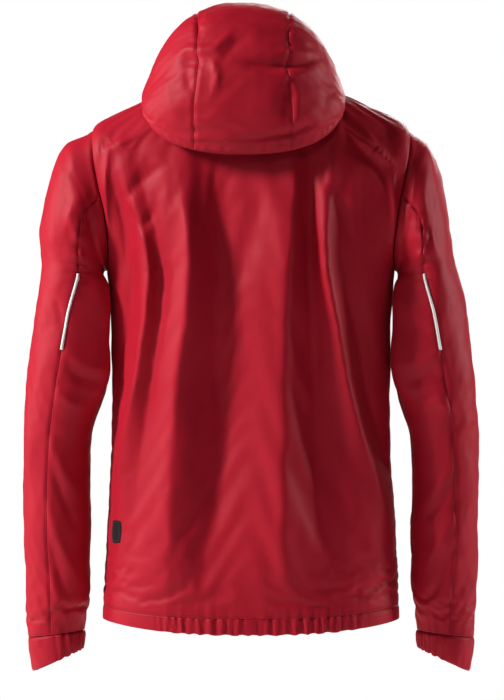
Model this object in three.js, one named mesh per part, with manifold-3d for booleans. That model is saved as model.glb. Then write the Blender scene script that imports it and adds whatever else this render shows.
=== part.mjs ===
// A hooded hardshell jacket, worn-shape and hanging from its neck loop, as an assembly of cut panels, zips and trims.
// Millimetres. +Z up, +Y the way the wearer faces, +X the wearer's right.
// The origin is the middle of the hang loop's underside, inside the collar at the centre of the back neck.
import * as THREE from "three";
import { mergeVertices } from "three/addons/utils/BufferGeometryUtils.js";
import Module from "manifold-3d";

const wasm = await Module();
wasm.setup();

// ---------- driving dimensions ----------
const backLength = 745; // centre-back neck seam down to the hem
const frontRise = 10; // how much higher the hem is at the front zip than at the back
const sideRise = 17; // and at the side seams
const hemHalfWidth = 209;
const hipHalfWidth = 203;
const waistHalfWidth = 196;
const chestHalfWidth = 201;
const shoulderHalfWidth = 222; // shoulder point to the middle of the jacket
const neckHalfWidth = 78;
const shoulderPointZ = -38;
const armpitZ = -238;
const backFullness = 50; // how far the back stands out behind the hang loop at the shoulder blades
const neckRearY = -14;
const neckSideZ = 27; // side-neck point above the back neck
const neckFrontZ = -60;
const sideY = 62; // the side seams' distance in front of the hang loop
const collarRearHeight = 42;
const collarSideHeight = 21;
const collarFrontTopZ = 28;
const zipLeanSlope = 0.09; // the straight front zip comes forward this much for each mm down
const zipLineY0 = 152.2; // the zip line's distance in front of the hang loop, level with it
const placketHalf = 18; // the front is flat this far each side of the zip
const fabric = 2; // a laminate with its lining
const seamGap = 0.5; // between two panels that are sewn together
const trimGap = 0.5; // between a panel and a trim on it
const hemBandHeight = 27;
const casingDepth = 7; // outer layer to inner layer of a turned-up hem
const casingFabric = 1.2;
const elasticWidth = 12;
const elasticThickness = 1.2;

const sleeveOuterX = 320; // outside of the forearm
const bicepHalfDepth = 67;
const wristHalfWidth = 45;
const cuffHalfWidth = 37;
const cuffInnerZ = -772; // the cuff is cut on a slant, lowest over the back of the hand
const cuffSlantDeg = 24;
const cuffBandHeight = 27;
const sleeveClearance = 5; // armpit side of the sleeve to the side of the body

const hoodTopZ = 137;
const hoodDroopZ = -80; // lowest point of the hood's slack behind the neck
const hoodRearY = -84;
const hoodRimY = 50; // top of the face opening, with the hood pushed back
const hoodLean = -11; // the hood has slumped towards the wearer's left
const hoodMiddleHalfWidth = 68; // middle panel, seam to seam, halved
const hoodLift = 10; // hood's lower edge above the shoulders
const peakLength = 22;
const rimCasingWidth = 16;
const rimElasticDepth = 2.6; // the elastic behind the inner face of the hood
const rimCasingGap = 2; // the casing behind the elastic

const frontEdge = 7; // middle of the zip to the edge of the front panel
const teethInner = 0.6; // half the slot between the two rows of teeth
const teethWidth = 2.7;
const tapeWidth = 10;
const tapeThickness = 0.8;
const teethThickness = 2.4;
const frontTapeDepth = 3; // middle of the tape behind the face of the fabric
const pocketTapeDepth = fabric + 4;
const sliderLength = 15;
const sliderHalfWidth = 4.6;
const sliderPlate = 1.5;
const sliderPlay = 0.35; // slider to teeth
const pullLength = 34;
const pullWidth = 7;
const pullThickness = 1.4;
const pullWindow = 3.8; // the pull's eye, across
const bridgeWidth = 1.8;
const pullLift = 2.4; // the pull's bar above the face of the fabric
const flapWidth = 38;
const flapDepth = 8.4; // the wind flap behind the front zip
const pocketZipLength = 150;
const pocketLowerX = 152;
const pocketUpperX = 124;
const pocketBagDepth = 13;
const patchWidth = 32;
const patchHeight = 38;
const lockRadius = 6;
const lockLength = 17;
const buttonRadius = 4;
const buttonTravel = 3;
const cordHole = 1.6; // radius

const loopSpan = 58;
const loopHeight = 15;
const loopWidth = 8;
const loopStrap = 1.5;

// ---------- colours ----------
const shellRed = { color: 0xb3182c, roughness: 0.42, metalness: 0 };
const liningDark = { color: 0x2a2a2e, roughness: 0.85, metalness: 0 };
const trimBlack = { color: 0x1b1b1e, roughness: 0.5, metalness: 0 };
const reflective = { color: 0xe8e6e2, roughness: 0.35, metalness: 0.2 };
const zipMetal = { color: 0x2b2b2d, roughness: 0.35, metalness: 0.8 };

const jacket = new THREE.Group();
const deg = THREE.MathUtils.degToRad;

// ---------- building tools ----------
function addMesh(parent, name, geometry, look) {
  const mesh = new THREE.Mesh(geometry, new THREE.MeshStandardMaterial(look));
  mesh.name = name;
  parent.add(mesh);
  return mesh;
}

function unitNormal(surface, u, v) {
  const step = 1e-3;
  const across = surface(u + step, v).sub(surface(u - step, v));
  const along = surface(u, v + step).sub(surface(u, v - step));
  return across.cross(along).normalize();
}

// A sheet of cloth: a box geometry laid on surface(u, v), its faces from `inside` to `outside` along the normal.
function sheet(surface, columns, rows, inside, outside) {
  const box = new THREE.BoxGeometry(1, 1, 1, columns, rows, 1);
  const at = box.getAttribute("position");
  for (let i = 0; i < at.count; i++) {
    const u = at.getX(i) + 0.5;
    const v = at.getY(i) + 0.5;
    const depth = at.getZ(i) > 0 ? outside : inside;
    const p = surface(u, v).addScaledVector(unitNormal(surface, u, v), depth);
    at.setXYZ(i, p.x, p.y, p.z);
  }
  return box;
}

// A band that goes all the way round: a lathe of a closed section, laid by place(angle, depth, height).
function band(section, segments, place) {
  const radius = 100;
  const points = section.map(([depth, height]) => new THREE.Vector2(radius - depth, height));
  points.push(points[0].clone());
  const lathe = new THREE.LatheGeometry(points, segments);
  const at = lathe.getAttribute("position");
  for (let i = 0; i < at.count; i++) {
    const angle = Math.atan2(at.getX(i), at.getZ(i));
    const depth = radius - Math.hypot(at.getX(i), at.getZ(i));
    const p = place(angle, depth, at.getY(i));
    at.setXYZ(i, p.x, p.y, p.z);
  }
  return lathe;
}

function block(width, depth, height, x, y, z) {
  return new THREE.BoxGeometry(width, depth, height).translate(x, y, z);
}

function solidOf(geometry) {
  const bare = geometry.clone();
  bare.deleteAttribute("normal");
  bare.deleteAttribute("uv");
  const merged = mergeVertices(bare, 1e-4);
  return new wasm.Manifold(
    new wasm.Mesh({
      numProp: 3,
      vertProperties: merged.getAttribute("position").array,
      triVerts: new Uint32Array(merged.index.array),
    }),
  );
}

function geometryOf(solid) {
  const mesh = solid.getMesh();
  const geometry = new THREE.BufferGeometry();
  geometry.setAttribute("position", new THREE.BufferAttribute(mesh.vertProperties, 3));
  geometry.setIndex(new THREE.BufferAttribute(mesh.triVerts, 1));
  return geometry;
}

function joined(...geometries) {
  return geometryOf(geometries.map(solidOf).reduce((whole, next) => whole.add(next)));
}

function cut(geometry, ...tools) {
  return geometryOf(tools.map(solidOf).reduce((whole, tool) => whole.subtract(tool), solidOf(geometry)));
}

function power(value, exponent) {
  return Math.sign(value) * Math.abs(value) ** exponent;
}

// The point at step s of a loft through rings, each ring a function of the angle round it.
function loft(rings, angle, s) {
  const line = new THREE.CatmullRomCurve3(rings.map((ring) => ring(angle)));
  return line.getPoint(s / (rings.length - 1));
}

// ---------- the body's form ----------
function zipLineY(z) {
  return zipLineY0 - zipLeanSlope * z;
}

// A ring round the body: angle 0 at the centre back, 90 degrees on the wearer's right side, 180 at the front zip.
function bodyRing(halfWidth, rear, side, frontZ, rearPower, frontPower) {
  const reach = zipLineY(frontZ) - side.y;
  return (angle) => {
    const behind = Math.cos(angle) > 0;
    const share = Math.sin(angle) ** 2;
    const x = halfWidth * power(Math.sin(angle), 2 / rearPower);
    const curved = Math.min(1, Math.max(0, Math.abs(x) - placketHalf) / (halfWidth - placketHalf));
    const y = behind
      ? side.y - (side.y - rear.y) * power(Math.cos(angle), 2 / rearPower)
      : side.y + reach * (1 - curved ** frontPower) ** (1 / frontPower);
    return new THREE.Vector3(x, y, side.z * share + (behind ? rear.z : frontZ) * (1 - share));
  };
}

const hemZ = -backLength;
const waistZ = armpitZ - 0.4 * (backLength + armpitZ);
const hipZ = armpitZ - 0.72 * (backLength + armpitZ);
const bodyRings = [
  bodyRing(hemHalfWidth, { y: -44, z: hemZ }, { y: sideY + 18, z: hemZ + sideRise }, hemZ + frontRise, 2.5, 2.4),
  bodyRing(hipHalfWidth, { y: -42, z: hipZ }, { y: sideY + 16, z: hipZ }, hipZ, 2.5, 2.4),
  bodyRing(waistHalfWidth, { y: -36, z: waistZ }, { y: sideY + 12, z: waistZ }, waistZ, 2.6, 2.4),
  bodyRing(chestHalfWidth, { y: -backFullness, z: armpitZ }, { y: sideY, z: armpitZ }, armpitZ, 2.7, 2.3),
  bodyRing(
    shoulderHalfWidth,
    { y: -38, z: 0.4 * armpitZ },
    { y: sideY - 6, z: shoulderPointZ },
    0.57 * armpitZ,
    2.6,
    2.1,
  ),
  bodyRing(neckHalfWidth, { y: neckRearY, z: 0 }, { y: sideY, z: neckSideZ }, neckFrontZ, 2, 2),
];
const neckRing = bodyRings.at(-1);
const armpitS = 3;
const shoulderS = 4;
const neckS = 5;

// The outer face of the body at ring step s: 0 hem, 3 armpit, 4 shoulder points, 5 neck seam.
function bodyForm(angle, s) {
  return loft(bodyRings, angle, THREE.MathUtils.clamp(s, 0, neckS));
}

function bodyNormal(angle, s) {
  return unitNormal(bodyForm, angle, THREE.MathUtils.clamp(s, 0.01, neckS - 0.01));
}

function halfWidthAt(s) {
  return bodyForm(Math.PI / 2, s).x;
}

// The angle at which the body is a distance x from its middle, on the front.
function frontAngle(x, s) {
  let low = Math.PI / 2;
  let high = Math.PI;
  for (let i = 0; i < 24; i++) {
    const middle = (low + high) / 2;
    if (bodyForm(middle, s).x > x) low = middle;
    else high = middle;
  }
  return low;
}

// The angle across a front piece at share u of its columns; the last column is the flat strip beside the zip.
function towardsZip(from, u, columns, s) {
  const flatFrom = frontAngle(placketHalf, s);
  const curved = 1 - 1 / columns;
  if (u <= curved) return THREE.MathUtils.lerp(from, flatFrom, u / curved);
  return THREE.MathUtils.lerp(flatFrom, frontAngle(frontEdge, s), (u - curved) * columns);
}

// The same for a piece that runs from one side of the zip round the back to the other.
function zipToZip(u, columns, s) {
  return Math.sign(u - 0.5) * towardsZip(0, Math.abs(2 * u - 1), columns / 2, s);
}

// How far round a seam lies from the middle of the side, so that the armhole is an oval.
function armholeSpread(s, widest) {
  const rise = THREE.MathUtils.clamp(s - armpitS, 0, 1);
  return widest * Math.sqrt(1 - (2 * rise - 1) ** 2);
}
const armholeRear = deg(22);
const armholeFront = deg(24);
const shoulderSeamBack = deg(20); // the shoulder seam runs this far behind the ridge at the neck
const stepsPerMm = { body: 1 / 165, yoke: 1 / 120 };

function rearSeamAngle(s) {
  if (s > shoulderS) return Math.PI / 2 - shoulderSeamBack * (s - shoulderS);
  return Math.PI / 2 - armholeSpread(s, armholeRear);
}

function frontSeamAngle(s) {
  if (s > shoulderS) return Math.PI / 2 - shoulderSeamBack * (s - shoulderS);
  return Math.PI / 2 + armholeSpread(s, armholeFront);
}

const panelLowS = (hemBandHeight + seamGap) * stepsPerMm.body;
const bodyRows = 12; // half of them below the armpit, half beside the armhole
const yokeRows = 4;

// Row share r of a panel, 0 to 1, to the ring step, closer together at both ends of the armhole.
function panelStep(r) {
  if (r < 0.5) return panelLowS + (armpitS - panelLowS) * r * 2;
  return armpitS + (1 - Math.cos(Math.PI * (r * 2 - 1))) / 2;
}

function seamAllowance(s) {
  return seamGap / 2 / halfWidthAt(s);
}

// ---------- body panels ----------
function backPanel() {
  const lower = bodyRows / (bodyRows + yokeRows);
  const surface = (u, v) => {
    const s = v < lower ? panelStep(v / lower) : shoulderS + (v - lower) / (1 - lower);
    const edge = rearSeamAngle(s) - seamAllowance(s);
    return bodyForm(edge * (2 * u - 1), Math.min(s, neckS - seamGap * stepsPerMm.yoke));
  };
  return sheet(surface, 18, bodyRows + yokeRows, -fabric, 0);
}

function frontPanel() {
  const top = shoulderS - seamGap * stepsPerMm.body;
  const columns = 11;
  const surface = (u, v) => {
    const s = Math.min(panelStep(v), top);
    const from = frontSeamAngle(s) + seamAllowance(s);
    return bodyForm(towardsZip(from, u, columns, s), s);
  };
  return sheet(surface, columns, bodyRows, -fabric, 0);
}

function frontYoke() {
  const low = shoulderS + seamGap * stepsPerMm.yoke;
  const high = neckS - seamGap * stepsPerMm.yoke;
  const columns = 11;
  const surface = (u, v) => {
    const s = THREE.MathUtils.lerp(low, high, v);
    const from = frontSeamAngle(s) + seamAllowance(s);
    return bodyForm(towardsZip(from, u, columns, s), s);
  };
  return sheet(surface, columns, yokeRows, -fabric, 0);
}

const collarTopRing = bodyRing(
  neckHalfWidth - 5,
  { y: neckRearY + 4, z: collarRearHeight },
  { y: sideY, z: neckSideZ + collarSideHeight },
  collarFrontTopZ,
  2,
  2,
);

function collarForm(angle, h) {
  return neckRing(angle).lerp(collarTopRing(angle), h);
}

function collar() {
  const columns = 26;
  const low = 0.02;
  const surface = (u, v) => collarForm(zipToZip(u, columns, neckS), low + (1 - low) * v);
  return sheet(surface, columns, 3, -fabric, 0);
}

// The turned-up hem: down the outer layer, round the fold and up the inner layer.
function foldPath(v, height) {
  const radius = (casingDepth - casingFabric) / 2;
  const straight = height - radius;
  const turn = Math.PI * radius;
  const length = v * (2 * straight + turn);
  if (length < straight) return [0, height - length];
  if (length > straight + turn) return [2 * radius, length - straight - turn + radius];
  const angle = (length - straight) / radius;
  return [radius * (1 - Math.cos(angle)), radius - radius * Math.sin(angle)];
}

function hemBand() {
  const columns = 34;
  const surface = (u, v) => {
    const [depth, height] = foldPath(1 - v, hemBandHeight - seamGap);
    const angle = zipToZip(u, columns, 0);
    const s = height * stepsPerMm.body;
    return bodyForm(angle, s).addScaledVector(bodyNormal(angle, s), -depth);
  };
  return sheet(surface, columns, 9, -casingFabric / 2, casingFabric / 2);
}

function hemElastic() {
  const edge = frontAngle(placketHalf + 4, 0);
  const middle = casingDepth / 2 - casingFabric / 2;
  const lowest = 5;
  const surface = (u, v) => bodyForm(edge * (2 * u - 1), (lowest + elasticWidth * v) * stepsPerMm.body);
  return sheet(surface, 34, 1, -middle - elasticThickness / 2, -middle + elasticThickness / 2);
}

// ---------- hood ----------
const hoodApex = new THREE.CatmullRomCurve3([
  new THREE.Vector3(0, hoodRearY + 22, hoodDroopZ),
  new THREE.Vector3(0, hoodRearY + 4, 0.5 * hoodDroopZ),
  new THREE.Vector3(0, hoodRearY, 0.12 * hoodTopZ),
  new THREE.Vector3(0, hoodRearY + 12, 0.53 * hoodTopZ),
  new THREE.Vector3(0, hoodRearY + 40, 0.84 * hoodTopZ),
  new THREE.Vector3(0, hoodRearY + 78, 0.97 * hoodTopZ),
  new THREE.Vector3(0, hoodRimY - 25, hoodTopZ),
  new THREE.Vector3(0, hoodRimY, hoodTopZ - 3),
]);
// The lower edge, from behind the shoulder to the chin: angle round the body and ring step, held just above the yoke.
const hoodBase = new THREE.CatmullRomCurve3(
  [[60, 4.52], [75, 4.56], [92, 4.6], [110, 4.62], [128, 4.66], [147, 4.7]].map(([angle, s]) =>
    bodyForm(deg(angle), s).addScaledVector(bodyNormal(deg(angle), s), hoodLift),
  ),
);
const archPower = 2.4;
const faceSwell = 0.55; // the face opening is wider at the ears than at the chin

// The outer face of the hood: arches from ear to ear, t 0 at the slack behind the neck and 1 at the face opening.
function hoodForm(t, across) {
  const apex = hoodApex.getPoint(THREE.MathUtils.clamp(t, 0, 1));
  const base = hoodBase.getPoint(THREE.MathUtils.clamp(t, 0, 1));
  const rise = power(Math.sin(across), 2 / archPower);
  const swell = 1 + faceSwell * t * t * rise;
  return new THREE.Vector3(
    -base.x * swell * power(Math.cos(across), 2 / archPower) + hoodLean * (1 - t * t * (1 - rise)),
    THREE.MathUtils.lerp(base.y, apex.y, rise),
    THREE.MathUtils.lerp(base.z, apex.z, rise),
  );
}

// How far along an arch the seam of the middle panel is.
function hoodSeam(t) {
  const halfWidth = hoodBase.getPoint(THREE.MathUtils.clamp(t, 0, 1)).x;
  const narrowing = 1 - 0.2 * t * t;
  return Math.acos(((narrowing * hoodMiddleHalfWidth) / halfWidth) ** (archPower / 2));
}

const hoodGap = seamGap / 2 / 130;
const archEnd = 0.004 * Math.PI;
const hoodColumns = 8;
function hoodPanel(from, to) {
  const surface = (u, v) => hoodForm(v, THREE.MathUtils.lerp(from(v) + hoodGap, to(v) - hoodGap, u));
  return sheet(surface, hoodColumns, 14, -fabric, 0);
}

const rimGap = 1.2;

// How far along an arch a column of the panels is: 0 to hoodColumns on the middle panel, and past them on the sides.
function columnAcross(column, t) {
  const seam = hoodSeam(t);
  const sideStep = (seam - archEnd) / hoodColumns;
  if (column < 0) return seam + column * sideStep;
  if (column > hoodColumns) return Math.PI - seam + (column - hoodColumns) * sideStep;
  return THREE.MathUtils.lerp(seam, Math.PI - seam, column / hoodColumns);
}

// A stiffened peak that carries on from the middle of the rim, column by column.
function hoodPeak() {
  const overSide = 2;
  const columns = hoodColumns + 2 * overSide;
  const surface = (u, v) => {
    const across = columnAcross(columns * u - overSide, 1);
    const rim = hoodForm(1, across);
    const run = rim.clone().sub(hoodForm(0.95, across)).normalize();
    const reach = rimGap + (4 + peakLength * Math.max(0, Math.sin(Math.PI * u)) ** 0.7) * v;
    return rim.addScaledVector(run, reach);
  };
  return sheet(surface, columns, 3, -fabric, 0);
}

// A strip sewn inside the rim: the casing, and the elastic between it and the hood.
function hoodRimStrip(depth, thickness, width) {
  const overSide = 4;
  const columns = hoodColumns + 2 * overSide;
  const surface = (u, v) => {
    const t = 0.99 - (width / 330) * (1 - v);
    return hoodForm(t, columnAcross(columns * u - overSide, t));
  };
  return sheet(surface, columns, 1, -depth - thickness, -depth);
}

// The hood's lower edge, k -1 to 1 from the left of the chin, behind the neck, to the right.
function hoodEdge(k) {
  if (Math.abs(k) <= 0.5) return hoodForm(0, Math.PI * (0.5 + k));
  return hoodForm((Math.abs(k) - 0.5) * 2, k > 0 ? Math.PI : 0);
}

// The hood's underside, from its lower edge in to the neck seam.
function hoodGusset() {
  const inset = 8;
  const offCollar = 4;
  const fullness = 6;
  const reachFrontY = zipLineY(neckFrontZ);
  const surface = (u, v) => {
    const edge = hoodEdge((2 * u - 1) * 0.97);
    const forward = edge.y - sideY;
    const reach = forward < 0 ? sideY - neckRearY : reachFrontY - sideY;
    const angle = Math.atan2(edge.x / neckHalfWidth, -forward / reach);
    const outwards = new THREE.Vector3(Math.sin(angle), -Math.cos(angle), 0);
    const root = neckRing(angle).addScaledVector(outwards, offCollar);
    root.z += offCollar;
    edge.addScaledVector(outwards, -inset);
    const p = root.lerp(edge, 1 - v);
    p.z += fullness * Math.sin(Math.PI * v) * (1 - THREE.MathUtils.smoothstep(forward, -20, 50));
    return p;
  };
  return sheet(surface, 26, 4, -fabric / 2, fabric / 2);
}

// ---------- sleeves, made for the wearer's right and mirrored ----------
function armholeLoop(theta) {
  const rear = Math.sin(theta) > 0;
  const spread = (rear ? armholeRear : armholeFront) * Math.sin(theta);
  return bodyForm(Math.PI / 2 - spread, armpitS + (1 + Math.cos(theta)) / 2);
}

// A plain oval ring round the arm: theta 0 outside, 90 degrees behind, 180 against the body.
function armRing(inner, outerReach, tiltDeg, halfDepth, y) {
  const out = new THREE.Vector3(Math.sin(deg(tiltDeg)), 0, Math.cos(deg(tiltDeg)));
  const half = outerReach / 2;
  return (theta) => {
    const p = inner.clone().addScaledVector(out, half + half * Math.cos(theta));
    p.y = y - halfDepth * Math.sin(theta);
    return p;
  };
}

const armpitX = Math.max(chestHalfWidth, waistHalfWidth) + sleeveClearance;
function point(x, z) {
  return new THREE.Vector3(x, 0, z);
}
const elbowZ = -398;
const cuffSeamZ = cuffInnerZ + cuffBandHeight;
const forearm = (width, z) => point(sleeveOuterX - width, z);
const sleeveRings = [
  (theta) => armholeLoop(theta).add(new THREE.Vector3(1.1 * fabric, 0, 0.4 * fabric * (Math.cos(theta) - 1))),
  armRing(point(armpitX + 1, armpitZ - 1), 164, 20, bicepHalfDepth + 2, sideY - 2),
  armRing(point(armpitX + 2, armpitZ - 4), 110, 49, bicepHalfDepth + 1, sideY - 2),
  armRing(point(armpitX + 1.5, armpitZ - 9), 90, 75, bicepHalfDepth, sideY - 3),
  armRing(point(armpitX - 0.5, armpitZ - 62), 98, 90, bicepHalfDepth - 1, sideY - 4),
  armRing(point(armpitX - 3, elbowZ), 113, 90, bicepHalfDepth - 5, sideY - 3),
  armRing(forearm(96, elbowZ - 76), 96, 90, bicepHalfDepth - 11, sideY + 3),
  armRing(forearm(94, elbowZ - 202), 94, 90, bicepHalfDepth - 16, sideY + 14),
  armRing(forearm(2 * wristHalfWidth + 2, cuffSeamZ + 50), 2 * wristHalfWidth, 92, wristHalfWidth + 1, sideY + 22),
  armRing(forearm(84, cuffSeamZ), 80, 97, cuffHalfWidth + 4, sideY + 26),
  armRing(forearm(82, cuffInnerZ), 2 * cuffHalfWidth + 4, 90 + cuffSlantDeg, cuffHalfWidth + 1, sideY + 28),
];
const cuffSeamK = 9;
const cuffEndK = 10;

function sleeveForm(theta, k) {
  return loft(sleeveRings, theta, THREE.MathUtils.clamp(k, 0, cuffEndK));
}

// The elbow seam, behind the arm, and the forearm seam in front of it.
const elbowSeamAtRings = new THREE.CatmullRomCurve3(
  [90, 92, 103, 104, 89, 77, 78, 74, 79, 83].map((angle, ring) => new THREE.Vector3(angle, 100 * ring, 0)),
);
function elbowSeam(k) {
  return deg(elbowSeamAtRings.getPoint(THREE.MathUtils.clamp(k / cuffSeamK, 0, 1)).x);
}
const frontSleeveSeam = deg(-112);
const sleeveAllowance = seamGap / 2 / 50;
const sleeveLowK = cuffSeamK - 0.02;

function upperSleeve() {
  const surface = (u, v) => {
    const k = sleeveLowK * v;
    const theta = THREE.MathUtils.lerp(frontSleeveSeam + sleeveAllowance, elbowSeam(k) - sleeveAllowance, u);
    return sleeveForm(theta, k);
  };
  return sheet(surface, 12, 16, -fabric, 0);
}

function underSleeve() {
  const surface = (u, v) => {
    const k = sleeveLowK * v;
    const from = elbowSeam(k) + sleeveAllowance;
    const to = frontSleeveSeam + 2 * Math.PI - sleeveAllowance;
    return sleeveForm(THREE.MathUtils.lerp(from, to, u), k);
  };
  return sheet(surface, 10, 16, -fabric, 0);
}

// The cuff: a turned-up band all round, with elastic inside its armpit half.
function cuffPlace(theta, depth, height) {
  const k = cuffEndK - (height / cuffBandHeight) * (cuffEndK - cuffSeamK - 0.02);
  const outwards = unitNormal(sleeveForm, theta, Math.min(k, cuffEndK - 0.01));
  return sleeveForm(theta, k).addScaledVector(outwards, -depth);
}

function cuffBand() {
  const wall = casingFabric;
  const inner = casingDepth - wall;
  const turn = 2.2;
  const section = [
    [0, turn],
    [turn, 0],
    [casingDepth - turn, 0],
    [casingDepth, turn],
    [casingDepth, cuffBandHeight],
    [inner, cuffBandHeight],
    [inner, turn + wall],
    [wall, turn + wall],
    [wall, cuffBandHeight],
    [0, cuffBandHeight],
  ];
  return band(section, 24, cuffPlace);
}

function cuffElastic() {
  const middle = casingDepth / 2;
  const surface = (u, v) => {
    const theta = THREE.MathUtils.lerp(deg(95), deg(265), u);
    const height = 7 + elasticWidth * v;
    return cuffPlace(theta, middle, height);
  };
  return sheet(surface, 10, 1, -elasticThickness / 2, elasticThickness / 2);
}

function reflectivePiping() {
  const halfSpan = deg(1.9);
  const surface = (u, v) => {
    const k = THREE.MathUtils.lerp(3.1, 4.5, v);
    return sleeveForm(elbowSeam(k) + halfSpan * (2 * u - 1), k);
  };
  return sheet(surface, 1, 10, trimGap, trimGap + 2.2);
}

// ---------- zips, drawn in their own frame: +Z up the zip, +Y out of the jacket, the fabric's face at y 0 ----------
function teethRow(length, depth) {
  return block(teethWidth, teethThickness, length, teethInner + teethWidth / 2, -depth, -length / 2);
}

function tapeStrip(length, depth) {
  const from = teethInner + teethWidth + 0.3;
  return block(tapeWidth, tapeThickness, length, from + tapeWidth / 2, -depth, -length / 2);
}

// Both halves of a short zip as one piece, closed at its ends.
function closedPair(halfPiece, length, depth, thickness, halfWidth, over) {
  const half = halfPiece(length, depth);
  const otherHalf = half.clone().rotateZ(Math.PI).translate(0, -2 * depth, 0);
  const end = (z) => block(2 * halfWidth, thickness, over, 0, -depth, z);
  return joined(half, otherHalf, end(over / 2 - 0.1), end(-length - over / 2 + 0.1));
}

const slotHalfWidth = sliderHalfWidth + 1;

function slider(depth) {
  const frontPlate = teethThickness / 2 + sliderPlay - depth;
  const rearPlate = -teethThickness / 2 - sliderPlay - sliderPlate - depth;
  const nose = 3.2;
  const outline = new THREE.Shape();
  outline.moveTo(-nose, -sliderLength / 2);
  outline.lineTo(nose, -sliderLength / 2);
  outline.lineTo(sliderHalfWidth, 0);
  outline.lineTo(sliderHalfWidth, sliderLength / 2);
  outline.lineTo(-sliderHalfWidth, sliderLength / 2);
  outline.lineTo(-sliderHalfWidth, 0);
  outline.closePath();
  const plate = (y) =>
    new THREE.ExtrudeGeometry(outline, { depth: sliderPlate, bevelEnabled: false })
      .rotateX(Math.PI / 2)
      .translate(0, y + sliderPlate, 0);
  const span = frontPlate - rearPlate;
  const post = block(0.6, span, sliderLength / 2, 0, rearPlate + span / 2, sliderLength / 5);
  const bridgeTop = pullLift + 2.3;
  const rise = bridgeTop - frontPlate - sliderPlate / 2;
  const bridge = block(bridgeWidth, rise, 8.6, 0, bridgeTop - rise / 2, 0);
  const eye = block(bridgeWidth + 2, 2.6, 3.2, 0, pullLift, 0);
  return cut(joined(plate(frontPlate), plate(rearPlate), post, bridge), eye);
}

// The pull: a frame whose top bar goes through the slider's bridge. Its origin is the bar.
function pull() {
  const bar = 1.3;
  const windowLength = 8;
  const half = pullWidth / 2;
  const grip = -pullLength + half;
  const outline = new THREE.Shape();
  outline.moveTo(-half, bar / 2);
  outline.lineTo(-half, grip);
  outline.absarc(0, grip, half, Math.PI, 2 * Math.PI, false);
  outline.lineTo(half, bar / 2);
  outline.closePath();
  const window = new THREE.Path();
  window.moveTo(-pullWindow / 2, -bar / 2);
  window.lineTo(pullWindow / 2, -bar / 2);
  window.lineTo(pullWindow / 2, -windowLength);
  window.lineTo(-pullWindow / 2, -windowLength);
  window.closePath();
  outline.holes.push(window);
  return new THREE.ExtrudeGeometry(outline, { depth: pullThickness, bevelEnabled: false, curveSegments: 8 })
    .rotateX(Math.PI / 2)
    .translate(0, pullThickness / 2, 0);
}

function addSlider(parent, name, side, depth, endMargin) {
  const z = -sliderLength / 2 - endMargin;
  addMesh(parent, name + "_slider" + side, slider(depth), zipMetal).position.z = z;
  addMesh(parent, name + "_pull" + side, pull(), trimBlack).position.set(0, pullLift, z);
}

// ---------- front zip ----------
const zipTopZ = collarFrontTopZ - 5;
const zipBottomZ = hemZ + frontRise + 10;
const zipLean = Math.atan(zipLeanSlope);
const zipLength = (zipTopZ - zipBottomZ) / Math.cos(zipLean);
const frontZip = new THREE.Group();
frontZip.position.set(0, zipLineY(zipTopZ), zipTopZ);
frontZip.rotation.x = zipLean;
jacket.add(frontZip);
addSlider(frontZip, "front_zip", "", frontTapeDepth, 1);
const endBox = block(2 * (frontEdge - 1.5), 4.4, 7, 0, -frontTapeDepth, -zipLength - 4);
addMesh(frontZip, "front_zip_end_box", endBox, trimBlack);
const stopX = teethInner + teethWidth / 2;
const topStop = block(2.4, 3.4, 2.4, stopX, -frontTapeDepth, 1.6);
// The wind flap is sewn in with the left tape; its top end folds forward over the zip as the chin guard.
const flap = block(flapWidth, 1.2, zipLength - 20, -flapWidth / 6, -flapDepth, -zipLength / 2 - 8);
addMesh(frontZip, "wind_flap", flap, shellRed);
const guardWidth = 2 * frontEdge - 4;
const guard = joined(
  block(guardWidth, flapDepth + 1.6, 1.6, 0, 0.2 - flapDepth / 2, 4.1),
  block(guardWidth, 1.4, 22, 0, 0.1 - flapDepth, -6.1),
  block(guardWidth, 1.4, 3, 0, 0.3, 3.4),
);
addMesh(frontZip, "chin_guard", guard, liningDark);

// ---------- hand pockets, made for the wearer's right and mirrored ----------
const pocketLow = bodyForm(frontAngle(pocketLowerX, 1.1), 1.1);
const pocketHigh = bodyForm(frontAngle(pocketUpperX, 2), 2);
const pocketUp = pocketHigh.clone().sub(pocketLow).normalize();
const pocketOut = bodyNormal(frontAngle((pocketLowerX + pocketUpperX) / 2, 1.55), 1.55);
pocketOut.addScaledVector(pocketUp, -pocketOut.dot(pocketUp)).normalize();
const pocketAcross = pocketOut.clone().cross(pocketUp);
const pocketMiddle = bodyForm(frontAngle((pocketLowerX + pocketUpperX) / 2, 1.55), 1.55);
const pocketTop = pocketMiddle.clone().addScaledVector(pocketUp, pocketZipLength / 2);
const pocketFrame = new THREE.Matrix4().makeBasis(pocketAcross, pocketOut, pocketUp).setPosition(pocketTop);

function frontPanelWithPocket() {
  const margin = 3;
  const length = pocketZipLength + 2 * margin;
  const slot = block(2 * slotHalfWidth, 24, length, 0, 0, -pocketZipLength / 2).applyMatrix4(pocketFrame);
  return cut(frontPanel(), slot);
}

function pocketBag() {
  const surface = (u, v) => {
    const s = THREE.MathUtils.lerp(0.55, 2.3, v);
    return bodyForm(THREE.MathUtils.lerp(deg(104), frontAngle(50, s), u), s);
  };
  return sheet(surface, 8, 8, -pocketBagDepth - 1, -pocketBagDepth);
}

// ---------- cord locks ----------
function lockHousing() {
  const bore = new THREE.CylinderGeometry(buttonRadius + 0.4, buttonRadius + 0.4, lockLength, 20);
  const cord = new THREE.CylinderGeometry(cordHole, cordHole, 4 * lockRadius, 12).rotateZ(Math.PI / 2);
  const body = new THREE.CylinderGeometry(lockRadius, lockRadius, lockLength, 20).rotateX(Math.PI / 2);
  return cut(body, bore.rotateX(Math.PI / 2).translate(0, 0, 2), cord);
}

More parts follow.
